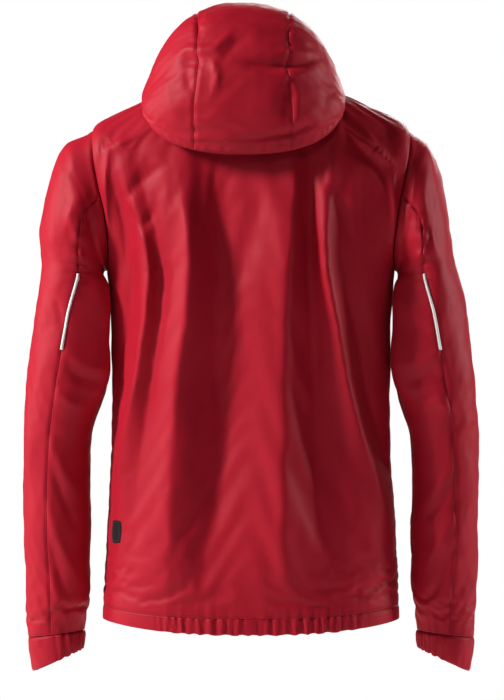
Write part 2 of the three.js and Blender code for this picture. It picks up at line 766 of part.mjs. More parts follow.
function lockButton() {
  const length = lockLength - 2 - 0.5;
  const button = new THREE.CylinderGeometry(buttonRadius, buttonRadius, length, 20).rotateX(Math.PI / 2);
  const cord = new THREE.CylinderGeometry(cordHole, cordHole, 4 * lockRadius, 12).rotateZ(Math.PI / 2);
  return cut(button.translate(0, 0, buttonTravel + 2.5), cord.translate(0, 0, buttonTravel));
}

function addLock(parent, name, side, place, facing) {
  for (const [part, geometry] of [["_lock", lockHousing()], ["_lock_button", lockButton()]]) {
    const mesh = addMesh(parent, name + part + side, geometry, trimBlack);
    mesh.position.copy(place);
    mesh.rotation.z = facing;
  }
}

// ---------- back patch and hang loop ----------
function backPatch() {
  const middleAngle = deg(-66);
  const middleS = 1;
  const half = patchWidth / 2 / 165;
  const surface = (u, v) =>
    bodyForm(middleAngle + half * (2 * u - 1), middleS + ((v - 0.5) * patchHeight) / 165);
  return sheet(surface, 3, 3, trimGap, trimGap + 0.8);
}

// A strap: up from the neck seam, across and down again. Its underside is at z 0.
function hangLoop() {
  const half = loopSpan / 2;
  const outline = new THREE.Shape();
  outline.moveTo(-half, -loopHeight);
  outline.lineTo(-half + loopStrap, -loopHeight);
  outline.lineTo(-half + loopStrap, 0);
  outline.lineTo(half - loopStrap, 0);
  outline.lineTo(half - loopStrap, -loopHeight);
  outline.lineTo(half, -loopHeight);
  outline.lineTo(half, loopStrap);
  outline.lineTo(-half, loopStrap);
  outline.closePath();
  const strap = new THREE.ExtrudeGeometry(outline, { depth: loopWidth, bevelEnabled: false })
    .rotateX(Math.PI / 2)
    .translate(0, loopWidth / 2, 0);
  const foot = (x) => block(6, loopWidth, loopStrap, x, -loopWidth / 2, -loopHeight + loopStrap / 2);
  return joined(strap, foot(-half + 3), foot(half - 3));
}

// ---------- assembly ----------
addMesh(jacket, "back_panel", backPanel(), shellRed);
addMesh(jacket, "collar", collar(), shellRed);
addMesh(jacket, "hem_band", hemBand(), shellRed);
addMesh(jacket, "hem_elastic", hemElastic(), liningDark);
addMesh(jacket, "hood_gusset", hoodGusset(), shellRed);
addMesh(jacket, "hang_loop", hangLoop(), trimBlack);
addMesh(jacket, "back_patch", backPatch(), trimBlack);

const leftEnd = () => archEnd;
const rightEnd = () => Math.PI - archEnd;
const rightSeam = (t) => Math.PI - hoodSeam(t);
addMesh(jacket, "hood_side_left", hoodPanel(leftEnd, hoodSeam), shellRed);
addMesh(jacket, "hood_middle_panel", hoodPanel(hoodSeam, rightSeam), shellRed);
addMesh(jacket, "hood_side_right", hoodPanel(rightSeam, rightEnd), shellRed);
addMesh(jacket, "hood_peak", hoodPeak(), shellRed);
const rimElastic = fabric + rimElasticDepth;
const rimCasing = rimElastic + elasticThickness + rimCasingGap;
addMesh(jacket, "hood_rim_casing", hoodRimStrip(rimCasing, casingFabric, rimCasingWidth), shellRed);
addMesh(jacket, "hood_rim_elastic", hoodRimStrip(rimElastic, elasticThickness, elasticWidth), liningDark);

for (const [name, sign] of [["_right", 1], ["_left", -1]]) {
  const side = new THREE.Group();
  side.scale.x = sign;
  jacket.add(side);
  addMesh(side, "front_panel" + name, frontPanelWithPocket(), shellRed);
  addMesh(side, "front_yoke" + name, frontYoke(), shellRed);
  addMesh(side, "upper_sleeve" + name, upperSleeve(), shellRed);
  addMesh(side, "under_sleeve" + name, underSleeve(), shellRed);
  addMesh(side, "cuff_band" + name, cuffBand(), shellRed);
  addMesh(side, "cuff_elastic" + name, cuffElastic(), liningDark);
  addMesh(side, "reflective_piping" + name, reflectivePiping(), reflective);
  addMesh(side, "pocket_bag" + name, pocketBag(), liningDark);

  const pocket = new THREE.Group();
  pocket.applyMatrix4(pocketFrame);
  side.add(pocket);
  const tapeHalfWidth = teethInner + teethWidth + 0.3 + tapeWidth;
  const teethHalfWidth = teethInner + teethWidth;
  const tape = closedPair(tapeStrip, pocketZipLength, pocketTapeDepth, tapeThickness, tapeHalfWidth, 4);
  const teeth = closedPair(teethRow, pocketZipLength - 6, pocketTapeDepth, teethThickness, teethHalfWidth, 1.5);
  addMesh(pocket, "pocket_zip_tape" + name, tape, trimBlack);
  addMesh(pocket, "pocket_zip_teeth" + name, teeth, trimBlack).position.z = -3;
  addSlider(pocket, "pocket_zip", name, pocketTapeDepth, 5);

  const zipSide = new THREE.Group();
  zipSide.scale.x = sign;
  frontZip.add(zipSide);
  addMesh(zipSide, "front_zip_tape" + name, tapeStrip(zipLength, frontTapeDepth), trimBlack);
  addMesh(zipSide, "front_zip_teeth" + name, teethRow(zipLength, frontTapeDepth), trimBlack);
  addMesh(zipSide, "front_zip_top_stop" + name, topStop.clone(), zipMetal);

  const inset = fabric + trimGap + lockRadius;
  const hemLockAngle = deg(104);
  const hemLockPlace = bodyForm(hemLockAngle, 0.25).addScaledVector(bodyNormal(hemLockAngle, 0.25), -inset - 1);
  addLock(side, "hem", name, hemLockPlace, deg(90));
  const hoodLockAngle = deg(152);
  const hoodLockPlace = collarForm(hoodLockAngle, 0.45);
  hoodLockPlace.addScaledVector(unitNormal(collarForm, hoodLockAngle, 0.45), -inset - 2);
  addLock(side, "hood", name, hoodLockPlace, deg(20));
}

export default jacket;
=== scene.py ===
"""A hooded hardshell jacket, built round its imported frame.

Laid out as an add-on, with one operator for each group of pieces and one for the stage.
"""

from functools import lru_cache
import math

import bmesh
import bpy
import numpy as np
from bpy.props import FloatProperty, FloatVectorProperty, PointerProperty
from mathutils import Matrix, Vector


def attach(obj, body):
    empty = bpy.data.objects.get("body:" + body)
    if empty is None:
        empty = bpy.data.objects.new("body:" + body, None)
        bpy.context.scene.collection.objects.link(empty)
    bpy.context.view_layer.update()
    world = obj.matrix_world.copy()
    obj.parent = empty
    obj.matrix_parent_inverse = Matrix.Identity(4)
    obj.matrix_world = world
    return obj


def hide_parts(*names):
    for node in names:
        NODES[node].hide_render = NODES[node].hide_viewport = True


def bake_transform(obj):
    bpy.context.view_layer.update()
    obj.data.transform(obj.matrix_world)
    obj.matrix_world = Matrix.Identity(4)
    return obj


bl_info = {
    "name": "Hardshell jacket",
    "version": (1, 0, 0),
    "blender": (4, 5, 0),
    "location": "View3D > Sidebar > Jacket",
    "description": "Cloth, zips and trims of a hooded hardshell jacket round its frame",
    "category": "Object",
}

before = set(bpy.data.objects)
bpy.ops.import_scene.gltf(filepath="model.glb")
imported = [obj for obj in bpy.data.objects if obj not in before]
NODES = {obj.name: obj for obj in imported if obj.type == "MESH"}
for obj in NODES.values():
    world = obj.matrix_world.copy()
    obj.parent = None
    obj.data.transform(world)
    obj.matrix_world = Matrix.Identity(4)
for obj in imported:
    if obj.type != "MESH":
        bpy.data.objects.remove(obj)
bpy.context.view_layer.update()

# ---------- the garment's form, in millimetres, in the frame's axes ----------
HEM_Z = -745
ARMPIT_Z = -238
SIDE_Y = 62
FRONT_EDGE = 7
PLACKET = 18
HEM_BAND = 27
SEAM_GAP = 0.5
MM_PER_STEP = 165
SEAM_STEP = 1 / MM_PER_STEP
SLEEVE_CLEARANCE = 5
ZIP_Y, ZIP_SLOPE = 152.2, 0.09

# ---------- how the cloth is shaped and settled ----------
CREASE_RADIUS = 2.2
PHASE_RANGE = 6.28
SETTLE_FRAMES = 16
MOST_SETTLED = 9
UNSEWN = 60.0
SEAM_MARGIN = 9
SOFT_SEAM = 0.25


def power(value, exponent):
    return np.sign(value) * np.abs(value) ** exponent


def smooth(value, low, high):
    t = np.clip((value - low) / (high - low), 0, 1)
    return t * t * (3 - 2 * t)


def unit(vectors):
    return vectors / np.maximum(np.linalg.norm(vectors, axis=-1, keepdims=True), 1e-9)


def even(count):
    """Evenly spaced shares from 0 to 1."""
    return np.linspace(0, 1, count)


def warped(angle, exponent):
    """An angle moved so that columns gather where the cloth bends most."""
    return np.arctan2(power(np.sin(angle), exponent), power(np.cos(angle), exponent))


def zip_line(z):
    """How far forward the front zip stands at a height."""
    return ZIP_Y - ZIP_SLOPE * z


def ring(angle, half_width, rear, side, front_z, rear_power, front_power):
    """A ring round the body.

    Angle 0 is the centre back, a quarter turn is the wearer's right and a half turn is the zip.
    """
    sine, cosine = np.sin(angle), np.cos(angle)
    x = half_width * power(sine, 2 / rear_power)
    curved = np.clip((np.abs(x) - PLACKET) / (half_width - PLACKET), 0, 1)
    back_y = side[0] - (side[0] - rear[0]) * power(cosine, 2 / rear_power)
    front_y = side[0] + (zip_line(front_z) - side[0]) * (1 - curved**front_power) ** (1 / front_power)
    share = sine**2
    z = side[1] * share + np.where(cosine > 0, rear[1], front_z) * (1 - share)
    return np.stack([x, np.where(cosine > 0, back_y, front_y), z], -1)


WAIST_Z = ARMPIT_Z + 0.4 * (HEM_Z - ARMPIT_Z)
HIP_Z = ARMPIT_Z + 0.72 * (HEM_Z - ARMPIT_Z)
# Each ring: its half width, its rear and side as (y, z), the height of its front, and how square it is
# behind and in front.
BODY_RINGS = [
    (209, (-44, HEM_Z), (SIDE_Y + 18, HEM_Z + 17), HEM_Z + 10, 2.5, 2.4),
    (203, (-42, HIP_Z), (SIDE_Y + 16, HIP_Z), HIP_Z, 2.5, 2.4),
    (196, (-36, WAIST_Z), (SIDE_Y + 12, WAIST_Z), WAIST_Z, 2.6, 2.4),
    (201, (-50, ARMPIT_Z), (SIDE_Y, ARMPIT_Z), ARMPIT_Z, 2.7, 2.3),
    (222, (-38, 0.4 * ARMPIT_Z), (SIDE_Y - 6, -38), 0.57 * ARMPIT_Z, 2.6, 2.1),
    (78, (-14, 0), (SIDE_Y, 27), -60, 2, 2),
]
NECK_RING = BODY_RINGS[-1]
COLLAR_TOP = (73, (-10, 42), (SIDE_Y, 48), 28, 2, 2)
ARMPIT_S, SHOULDER_S, NECK_S = 3, 4, 5


def through(points, t):
    """The point at t, 0 to 1, of a centripetal curve through rows of points, one curve for each column."""
    count = len(points)
    at = np.clip(t, 0, 1) * (count - 1)
    index = np.minimum(at.astype(int), count - 2)
    w = (at - index)[:, None]
    column = np.arange(points.shape[1])

    def pick(i):
        inside = points[np.clip(i, 0, count - 1), column]
        before = 2 * points[0, column] - points[1, column]
        after = 2 * points[-1, column] - points[-2, column]
        return np.where((i < 0)[:, None], before, np.where((i > count - 1)[:, None], after, inside))

    a, b, c, d = (pick(index + i) for i in (-1, 0, 1, 2))

    def gap(p, q):
        return np.maximum((((p - q) ** 2).sum(-1, keepdims=True)) ** 0.25, 1e-4)

    ab, bc, cd = gap(a, b), gap(b, c), gap(c, d)
    start = ((b - a) / ab - (c - a) / (ab + bc) + (c - b) / bc) * bc
    end = ((c - b) / bc - (d - b) / (bc + cd) + (d - c) / cd) * bc
    return b + start * w + (-3 * b + 3 * c - 2 * start - end) * w**2 + (2 * b - 2 * c + start + end) * w**3


def flatwise(function, *values):
    values = np.broadcast_arrays(*[np.asarray(v, float) for v in values])
    out = function(*[v.ravel() for v in values])
    return out.reshape(values[0].shape + out.shape[1:])


def body_form(angle, s):
    """The plain outer face of the body.

    s is 0 at the hem, 3 at the armpits, 4 at the shoulder points and 5 at the neck seam.
    """

    def form(a, t):
        return through(np.stack([ring(a, *r) for r in BODY_RINGS]), t / NECK_S)

    return flatwise(form, angle, s)


def normals_of(points):
    """The outward normals of a grid of points."""
    return unit(np.cross(np.gradient(points, axis=1), np.gradient(points, axis=0)))


def body_normal(angle, s, step):
    """The outward normal of the plain body at one place."""
    turns = np.array([[angle - step, angle + step]] * 2)
    heights = np.array([[s - step] * 2, [s + step] * 2])
    return normals_of(body_form(turns, heights))[0, 0]


def waves(x, y, seed, sizes, count=9):
    """A gentle random surface made of a few plane waves of the given lengths."""
    rng = np.random.default_rng(seed)
    total = np.zeros_like(x)
    for _ in range(count):
        length = rng.uniform(*sizes)
        turn = rng.uniform(0, 2 * math.pi)
        phase = rng.uniform(0, PHASE_RANGE)
        total += np.sin(2 * math.pi * (x * math.cos(turn) + y * math.sin(turn)) / length + phase)
    return total / math.sqrt(count)


def crease(x, z, line, height, half_width):
    """A crisp ridge along (x, z) points, or a furrow where height is negative, fading at both ends."""
    line = np.asarray(line, float)
    best = np.full(x.shape, 1e9)
    along = np.zeros(x.shape)
    run = 0.0
    steps = np.linalg.norm(np.diff(line, axis=0), axis=1)
    for (x0, z0), (x1, z1), step in zip(line[:-1], line[1:], steps):
        t = np.clip(((x - x0) * (x1 - x0) + (z - z0) * (z1 - z0)) / step**2, 0, 1)
        d = np.hypot(x - x0 - t * (x1 - x0), z - z0 - t * (z1 - z0))
        nearer = d < best
        best = np.where(nearer, d, best)
        along = np.where(nearer, run + t * step, along)
        run += step
    ends = np.sin(math.pi * np.clip(along / run, 0.02, 0.98)) ** 0.7
    rounded = np.sqrt(best**2 + CREASE_RADIUS**2) - CREASE_RADIUS
    return height * ends * np.exp(-rounded / (0.72 * half_width * (0.5 + 0.5 * ends)))


DRAPE_DEPTH = 2.0
SHOULDER_SLOPE = 6
ARMHOLE_FILL = 11
TURN_POWER = 1.25
# The drapes that fall from the shoulder blades. Each line has its distances from the middle, then its
# heights, level by level.
LEVELS = (-725, -640, -550, -470, -390, -310, -240, -180, -120, -60)
DRAPES = [
    ((-240,) * 10, (0,) * 10),
    ((-225, -222, -215, -203, -184, -172, -163, -172, -195, -203), (0, 0, -3, -7, -10, -9, -6, -3, -1, 0)),
    ((-206, -204, -196, -180, -162, -149, -141, -152, -175, -185), (0, 2, 6, 9, 8, 6, 5, 4, 2, 0)),
    ((-165, -165, -160, -150, -138, -128, -126, -132, -150, -160), (0, 1, 1, 0, -1, -3, -4, -3, -2, -1)),
    ((-118, -115, -112, -108, -103, -90, -86, -88, -100, -110), (2, 6, 10, 12, 12, 12, 11, 8, 3, 0)),
    ((-66, -62, -48, -38, -48, -46, -45, -46, -50, -60), (-2, -4, -6, -7, -8, -8, -9, -9, -6, -3)),
    ((42, 44, 45, 46, 46, 48, 52, 58, 60, 60), (3, 7, 10, 11, 11, 10, 9, 7, 3, 0)),
    ((105, 100, 92, 90, 88, 84, 80, 80, 82, 85), (-1, -3, -5, -7, -8, -8, -8, -7, -5, -3)),
    ((206, 204, 182, 156, 134, 120, 105, 101, 108, 120), (0, 1, 5, 8, 8, 7, 7, 6, 4, 2)),
    ((226, 224, 204, 178, 156, 142, 127, 123, 130, 140), (0, 0, -3, -8, -10, -9, -6, -3, 0, 0)),
    ((240,) * 10, (0,) * 10),
]
# Each crease: its line of (x, z) points, its height and half its width.
BACK_CREASES = [
    ([(15, -120), (2, -190), (-10, -250)], -3.5, 11),
    ([(-175, -150), (-150, -178), (-128, -150)], -3, 7),
    ([(-200, -60), (-203, -120), (-200, -180)], 4, 7),
    ([(-188, -110), (-176, -170), (-172, -235)], -3, 10),
    ([(138, -42), (168, -64), (203, -94)], 5, 6),
    ([(150, -62), (172, -88), (190, -118)], -4, 11),
    ([(196, -92), (201, -150), (199, -230)], 3.5, 7),
    ([(-150, -45), (-175, -52), (-200, -66)], 3, 9),
    ([(-120, -90), (-150, -112), (-178, -140)], -2.5, 12),
    ([(96, -100), (118, -142), (140, -200)], -2.5, 10),
]


def drape(x, z):
    """How far the back stands out at (x, z)."""
    order = [(np.interp(z, LEVELS, xs), np.interp(z, LEVELS, hs)) for xs, hs in DRAPES]
    total = np.zeros(x.shape)
    for (x0, h0), (x1, h1) in zip(order[:-1], order[1:]):
        inside = (x >= x0) & (x < x1)
        t = np.clip((x - x0) / np.maximum(x1 - x0, 1e-6), 0, 1)
        t = 0.7 * t + 0.3 * t * t * (3 - 2 * t)
        total = np.where(inside, h0 + (h1 - h0) * t, total)
    for line, height, half_width in BACK_CREASES:
        total = total + crease(x, z, line, height, half_width)
    return total


def elastic_share(x, y):
    """How much the hem's elastic draws in: fully across the back, not at the sides and front."""
    return smooth(-np.abs(x - 14), -160, -105) * smooth(-y, -70, -10)


def hem_gather(points):
    """Draws the back into the upright gathers of the elastic hem, fading over the band's seam."""
    x, y, z = np.moveaxis(points, -1, 0)
    share = elastic_share(x, y)
    tucks = np.sin(x / 1.9 + 2.4 * np.sin(x / 19))
    tucks = tucks + 0.55 * np.sin(x / 3.1 + 1.3) + 0.3 * np.sin(x / 1.2 + z / 9)
    above = np.maximum(z - HEM_Z - HEM_BAND, 0)
    fade = np.exp(-above / (9 + 7 * np.sin(x / 5.3 + 2 * np.sin(x / 23)) ** 2))
    points = points.copy()
    points[..., 1] -= sizes().gather * share * tucks * fade
    return points


def turn_from_back(angle):
    """An angle round the body as it is read either way from the centre back."""
    return (angle + math.pi) % (2 * math.pi) - math.pi


@lru_cache(None)
def body_field():
    """The draped body: rows from hem to neck, columns round from the centre back."""
    turn = np.linspace(0, 2 * math.pi, 181)
    angle = warped(turn, TURN_POWER) % (2 * math.pi)
    angle[-1] = 2 * math.pi
    s = np.linspace(0, NECK_S, 126)
    points = body_form(angle[None, :], s[:, None])
    x, y, z = np.moveaxis(points, -1, 0)
    level = s[:, None]
    rear = smooth(-y, -58, -20)
    neck = 1 - smooth(z, -62, -8)
    points[..., 1] -= DRAPE_DEPTH * drape(x, z) * rear * neck * smooth(level, 0.0, 0.7)
    front = smooth(y, 60, 100)
    pocket = smooth(np.abs(x), 96, 116) * (1 - smooth(np.abs(x), 158, 178))
    pocket = pocket * smooth(z, -665, -635) * (1 - smooth(z, -445, -415)) * smooth(y, 60, 100)
    fall = 3.4 * np.sin(x / 23 + 0.6 * np.sin(z / 90)) * smooth(-z, 130, 420) * smooth(np.abs(x), 14, 60)
    points[..., 1] += fall * front * (1 - pocket) * smooth(level, 0.1, 1)
    calm = (1 - smooth(y, 90, 140) * (1 - smooth(np.abs(x), 12, 40))) * (1 - pocket)
    crumple = 0.8 * waves(x * 1.5, z * 0.55, 11, (40, 110)) + 0.2 * waves(x * 1.3, z * 0.8, 5, (16, 34))
    points += normals_of(points) * (crumple * calm * smooth(level, 0.05, 0.5) * neck)[..., None]
    slope = np.exp(-(((np.abs(x) - 182) / 34) ** 2))
    slope = slope * smooth(level, 3.7, 4.2) * (1 - smooth(level, 4.7, 4.95))
    points[..., 2] -= SHOULDER_SLOPE * slope
    from_corner = np.abs(turn_from_back(angle)) - math.radians(72)
    corner = np.exp(-((from_corner / math.radians(13)) ** 2))[None, :]
    points[..., 1] -= ARMHOLE_FILL * corner * smooth(level, 3.0, 3.35) * (1 - smooth(level, 3.85, 4.2))
    points[:, -1] = points[:, 0]
    hold = 0.22 + 0.7 * smooth(level, 4.5, 4.9) + 0.6 * (1 - smooth(level, 0.1, 0.35)) + 0.7 * (1 - calm)
    return settle_cloth("body_form", points, np.clip(hold + 0 * x, 0, 1), cyclic=True)


def cubic(grid, at, axis, cyclic):
    """Reads a grid between its rows along an axis with a smooth curve."""
    count = grid.shape[axis]
    index = np.clip(np.floor(at).astype(int), 0, count - 2)
    w = at - index

    def take(offset):
        i = index + offset
        if cyclic:
            i = np.where(i < 0, i + count - 1, np.where(i > count - 1, i - count + 1, i))
        return np.clip(i, 0, count - 1)

    rows = [take(k) for k in (-1, 0, 1, 2)]
    weights = (
        (-w + 2 * w**2 - w**3) / 2,
        (2 - 5 * w**2 + 3 * w**3) / 2,
        (w + 4 * w**2 - 3 * w**3) / 2,
        (-(w**2) + w**3) / 2,
    )
    return rows, weights


def read_field(grid, column, row, cyclic=True):
    """The smooth point of a grid at a fractional column and row."""

    def read(c, r):
        rows, row_weights = cubic(grid, r, 0, False)
        columns, column_weights = cubic(grid, c, 1, cyclic)
        total = 0
        for i, wi in zip(rows, row_weights):
            for j, wj in zip(columns, column_weights):
                total = total + grid[i, j] * (wi * wj)[:, None]
        return total

    return flatwise(read, column, row)


def body_point(angle, s):
    """A point of the draped body."""
    grid = body_field()
    turn = warped(angle, 1 / TURN_POWER) % (2 * math.pi)
    column = turn / (2 * math.pi) * (grid.shape[1] - 1)
    return read_field(grid, column, np.clip(s, 0, NECK_S) / NECK_S * (grid.shape[0] - 1))


def front_angle(x, s):
    """The angle at which the body's front is a distance x from the zip."""
    s = np.asarray(s, float)
    low, high = np.full(s.shape, math.pi / 2), np.full(s.shape, math.pi)
    for _ in range(24):
        middle = (low + high) / 2
        beyond = body_form(middle, s)[..., 0] > x
        low, high = np.where(beyond, middle, low), np.where(beyond, high, middle)
    return low


def armhole_spread(s, widest):
    """How far an armhole's seam turns away from the side of the body."""
    rise = np.clip(s - ARMPIT_S, 0, 1)
    return widest * np.sqrt(np.maximum(1 - (2 * rise - 1) ** 2, 0))


REAR_SPREAD, FRONT_SPREAD = math.radians(22), math.radians(24)
SHOULDER_TURN = math.radians(20)


def rear_seam(s):
    yoke = math.pi / 2 - SHOULDER_TURN * (s - SHOULDER_S)
    return np.where(s > SHOULDER_S, yoke, math.pi / 2 - armhole_spread(s, REAR_SPREAD))


def front_seam(s):
    yoke = math.pi / 2 - SHOULDER_TURN * (s - SHOULDER_S)
    return np.where(s > SHOULDER_S, yoke, math.pi / 2 + armhole_spread(s, FRONT_SPREAD))


# ---------- hood ----------
HOOD_TOP, HOOD_DROOP, HOOD_REAR, HOOD_RIM = 137, -80, -84, 50
HOOD_LEAN = -11
HOOD_MIDDLE = 68
ARCH_POWER = 2.4
FACE_SWELL = 0.36
HOOD_APEX = np.array(
    [
        (0, HOOD_REAR + 22, HOOD_DROOP),
        (0, HOOD_REAR + 4, 0.5 * HOOD_DROOP),
        (0, HOOD_REAR, 0.12 * HOOD_TOP),
        (0, HOOD_REAR + 12, 0.53 * HOOD_TOP),
        (0, HOOD_REAR + 40, 0.84 * HOOD_TOP),
        (0, HOOD_REAR + 78, 0.97 * HOOD_TOP),
        (0, HOOD_RIM - 25, HOOD_TOP),
        (0, HOOD_RIM, HOOD_TOP - 3),
    ],
    float,
)
HOOD_LIFT = 10
HOOD_SLIM = 0.09
EAR_POWER = 1.2
HOOD_EAR = 0.004 * math.pi
# The hood's lower edge on the body, each as its turn from the centre back in degrees and its s.
HOOD_CORNERS = ((60, 4.52), (75, 4.56), (92, 4.6), (110, 4.62), (128, 4.66), (147, 4.7))


@lru_cache(None)
def hood_base():
    """The points that the hood's lower edge goes through, just above the shoulders."""
    made = []
    for turn, s in HOOD_CORNERS:
        a = math.radians(turn)
        made.append(body_form(a, s) + HOOD_LIFT * body_normal(a, s, 1e-3))
    return np.array(made)


def hood_form(t, across):
    """The plain hood, in arches from ear to ear: t is 0 at the slack behind the neck and 1 at the face."""

    def form(t, across):
        t = np.clip(t, 0, 1)
        apex = through(np.repeat(HOOD_APEX[:, None], len(t), 1), t)
        base = through(np.repeat(hood_base()[:, None], len(t), 1), t)
        rise = power(np.sin(across), 2 / ARCH_POWER)
        swell = 1 + FACE_SWELL * t * t * rise
        x = -base[:, 0] * swell * power(np.cos(across), 2 / ARCH_POWER)
        x = x + HOOD_LEAN * (1 - t * t * (1 - rise))
        y = base[:, 1] + (apex[:, 1] - base[:, 1]) * rise
        z = base[:, 2] + (apex[:, 2] - base[:, 2]) * rise
        return np.stack([x, y, z], -1)

    return flatwise(form, t, across)


HOOD_CREASES = [
    ([(-12, 46), (30, 42), (66, 45), (92, 53)], -8.5, 9),
    ([(-6, 31), (40, 27), (84, 36)], 2.6, 6),
    ([(30, 62), (62, 62), (88, 60)], 3, 6),
    ([(-104, 58), (-88, 65), (-72, 62), (-50, 66), (-24, 92)], 5, 7),
    ([(-98, 44), (-80, 50), (-66, 44)], -4.5, 8),
    ([(-40, 50), (-20, 74), (0, 84)], -3.5, 9),
    ([(-52, 50), (-46, 26), (-52, 2)], 4.5, 7),
    ([(-90, 36), (-86, 18), (-78, 6)], -3.5, 6),
    ([(50, 24), (52, -4), (49, -38)], -4, 12),
    ([(64, 18), (66, -6), (62, -34)], 2.5, 9),
    ([(-4, -62), (30, -56), (60, -50), (88, -34)], -4, 8),
    ([(4, -48), (40, -42), (76, -30)], 2.2, 8),
    ([(-70, 78), (-74, 100), (-68, 118)], -3, 5),
    ([(20, 104), (52, 96), (84, 70)], 3, 8),
    ([(8, 92), (44, 84), (72, 66)], -3, 8),
    ([(-60, 106), (-20, 112), (40, 108)], -2.2, 5),
    ([(-120, 30), (-112, -10), (-96, -40)], 3, 16),
    ([(96, 40), (108, 8), (98, -30)], -2.5, 14),
]


@lru_cache(None)
def hood_field():
    """The hood's cloth: rows from the slack to the rim, columns from the left ear to the right."""
    across = warped(np.linspace(0, math.pi, 91), EAR_POWER)
    t = np.linspace(0, 1, 71)
    points = hood_form(t[:, None], across[None, :])
    slim = 1 - HOOD_SLIM * smooth(points[..., 2], -25, 45)
    points[..., 0] = HOOD_LEAN + (points[..., 0] - HOOD_LEAN) * slim
    x, y, z = np.moveaxis(points, -1, 0)
    rear = smooth(-y, -55, 0)
    rise = np.zeros(x.shape)
    for line, height, half_width in HOOD_CREASES:
        rise += crease(x, z, line, height, half_width)
    pucker = np.sin(z / 3.1 + 1.4 * np.sin(z / 11)) * np.exp(-(((x + 72) / 15) ** 2)) * smooth(-z, -10, 30)
    rise = rise * rear + 1.5 * pucker * rear
    edge = smooth(t[:, None], 0, 0.06) * smooth(np.sin(across)[None, :], 0, 0.25)
    crumple = 0.7 * waves(x, z + 0.7 * y, 3, (42, 95)) + 0.2 * waves(x + 0.4 * y, z + y, 8, (14, 30))
    points += normals_of(points) * (rise * edge + crumple * (0.25 + 0.75 * edge))[..., None]
    return settle_cloth("hood_form", points, np.clip(1 - 0.74 * edge, 0, 1), cyclic=False)


def hood_point(t, across):
    """A point of the settled hood."""
    grid = hood_field()
    turn = warped(across, 1 / EAR_POWER)
    column = np.clip(turn, 0, math.pi) / math.pi * (grid.shape[1] - 1)
    return read_field(grid, column, np.clip(t, 0, 1) * (grid.shape[0] - 1), cyclic=False)


def hood_seam(t):
    """How far round the arch the left seam of the middle panel lies."""
    t = np.asarray(t, float)
    wide = through(np.repeat(hood_base()[:, None], t.size, 1), t.ravel())[:, 0].reshape(t.shape)
    return np.arccos(((1 - 0.2 * t * t) * HOOD_MIDDLE / wide) ** (ARCH_POWER / 2))


# ---------- sleeves, worked out for the wearer's right and mirrored ----------
CUFF_SEAM_K, CUFF_END_K = 9, 10
CUFF_Z = -772
CUFF_BAND = 27
ARM_X = 201 + SLEEVE_CLEARANCE
FOREARM_X = 320
# Each ring round the arm: its body side (x, z), its reach outwards, its tilt in degrees, half its depth and
# the y of its middle.
ARM_RINGS = [
    (ARM_X + 1, ARMPIT_Z - 1, 164, 20, 69, SIDE_Y - 2),
    (ARM_X + 2, ARMPIT_Z - 4, 110, 49, 68, SIDE_Y - 2),
    (ARM_X + 1.5, ARMPIT_Z - 9, 90, 75, 67, SIDE_Y - 3),
    (ARM_X - 0.5, ARMPIT_Z - 62, 98, 90, 66, SIDE_Y - 4),
    (ARM_X - 3, -398, 113, 90, 62, SIDE_Y - 3),
    (FOREARM_X - 96, -474, 96, 90, 56, SIDE_Y + 3),
    (FOREARM_X - 94, -600, 94, 90, 51, SIDE_Y + 14),
    (FOREARM_X - 92, CUFF_Z + CUFF_BAND + 50, 90, 92, 46, SIDE_Y + 22),
    (FOREARM_X - 84, CUFF_Z + CUFF_BAND, 80, 97, 41, SIDE_Y + 26),
    (FOREARM_X - 82, CUFF_Z, 78, 114, 38, SIDE_Y + 28),
]


def armhole_loop(theta, point):
    """The armhole seam on the body: theta 0 on top, a quarter turn behind, a half turn at the armpit."""
    rear = np.sin(theta) > 0
    spread = np.where(rear, REAR_SPREAD, FRONT_SPREAD) * np.sin(theta)
    return point(math.pi / 2 - spread, ARMPIT_S + (1 + np.cos(theta)) / 2)


def arm_ring(theta, x, z, reach, tilt, half_depth, y):
    out = np.array([math.sin(math.radians(tilt)), 0, math.cos(math.radians(tilt))])
    p = np.array([x, 0, z]) + out * ((reach / 2) * (1 + np.cos(theta)))[:, None]
    p[:, 1] = y - half_depth * np.sin(theta)
    return p


def sleeve_form(theta, k):
    """The plain sleeve: k is 0 at the armhole, 9 at the cuff seam and 10 at the cuff's end."""

    def form(theta, k):
        first = armhole_loop(theta, body_form)
        return through(np.stack([first] + [arm_ring(theta, *r) for r in ARM_RINGS]), k / CUFF_END_K)

    return flatwise(form, theta, k)


# How far round the arm the elbow seam lies, in degrees, ring by ring.
ELBOW_SEAM = (90, 92, 103, 104, 89, 77, 78, 74, 79, 83)
FRONT_SLEEVE_SEAM = math.radians(-112)


def elbow_seam(k):
    k = np.asarray(k, float)
    points = np.array([(a, 100.0 * i, 0) for i, a in enumerate(ELBOW_SEAM)])
    grid = np.repeat(points[:, None], k.size, 1)
    return np.radians(through(grid, k.ravel() / CUFF_SEAM_K)[:, 0].reshape(k.shape))


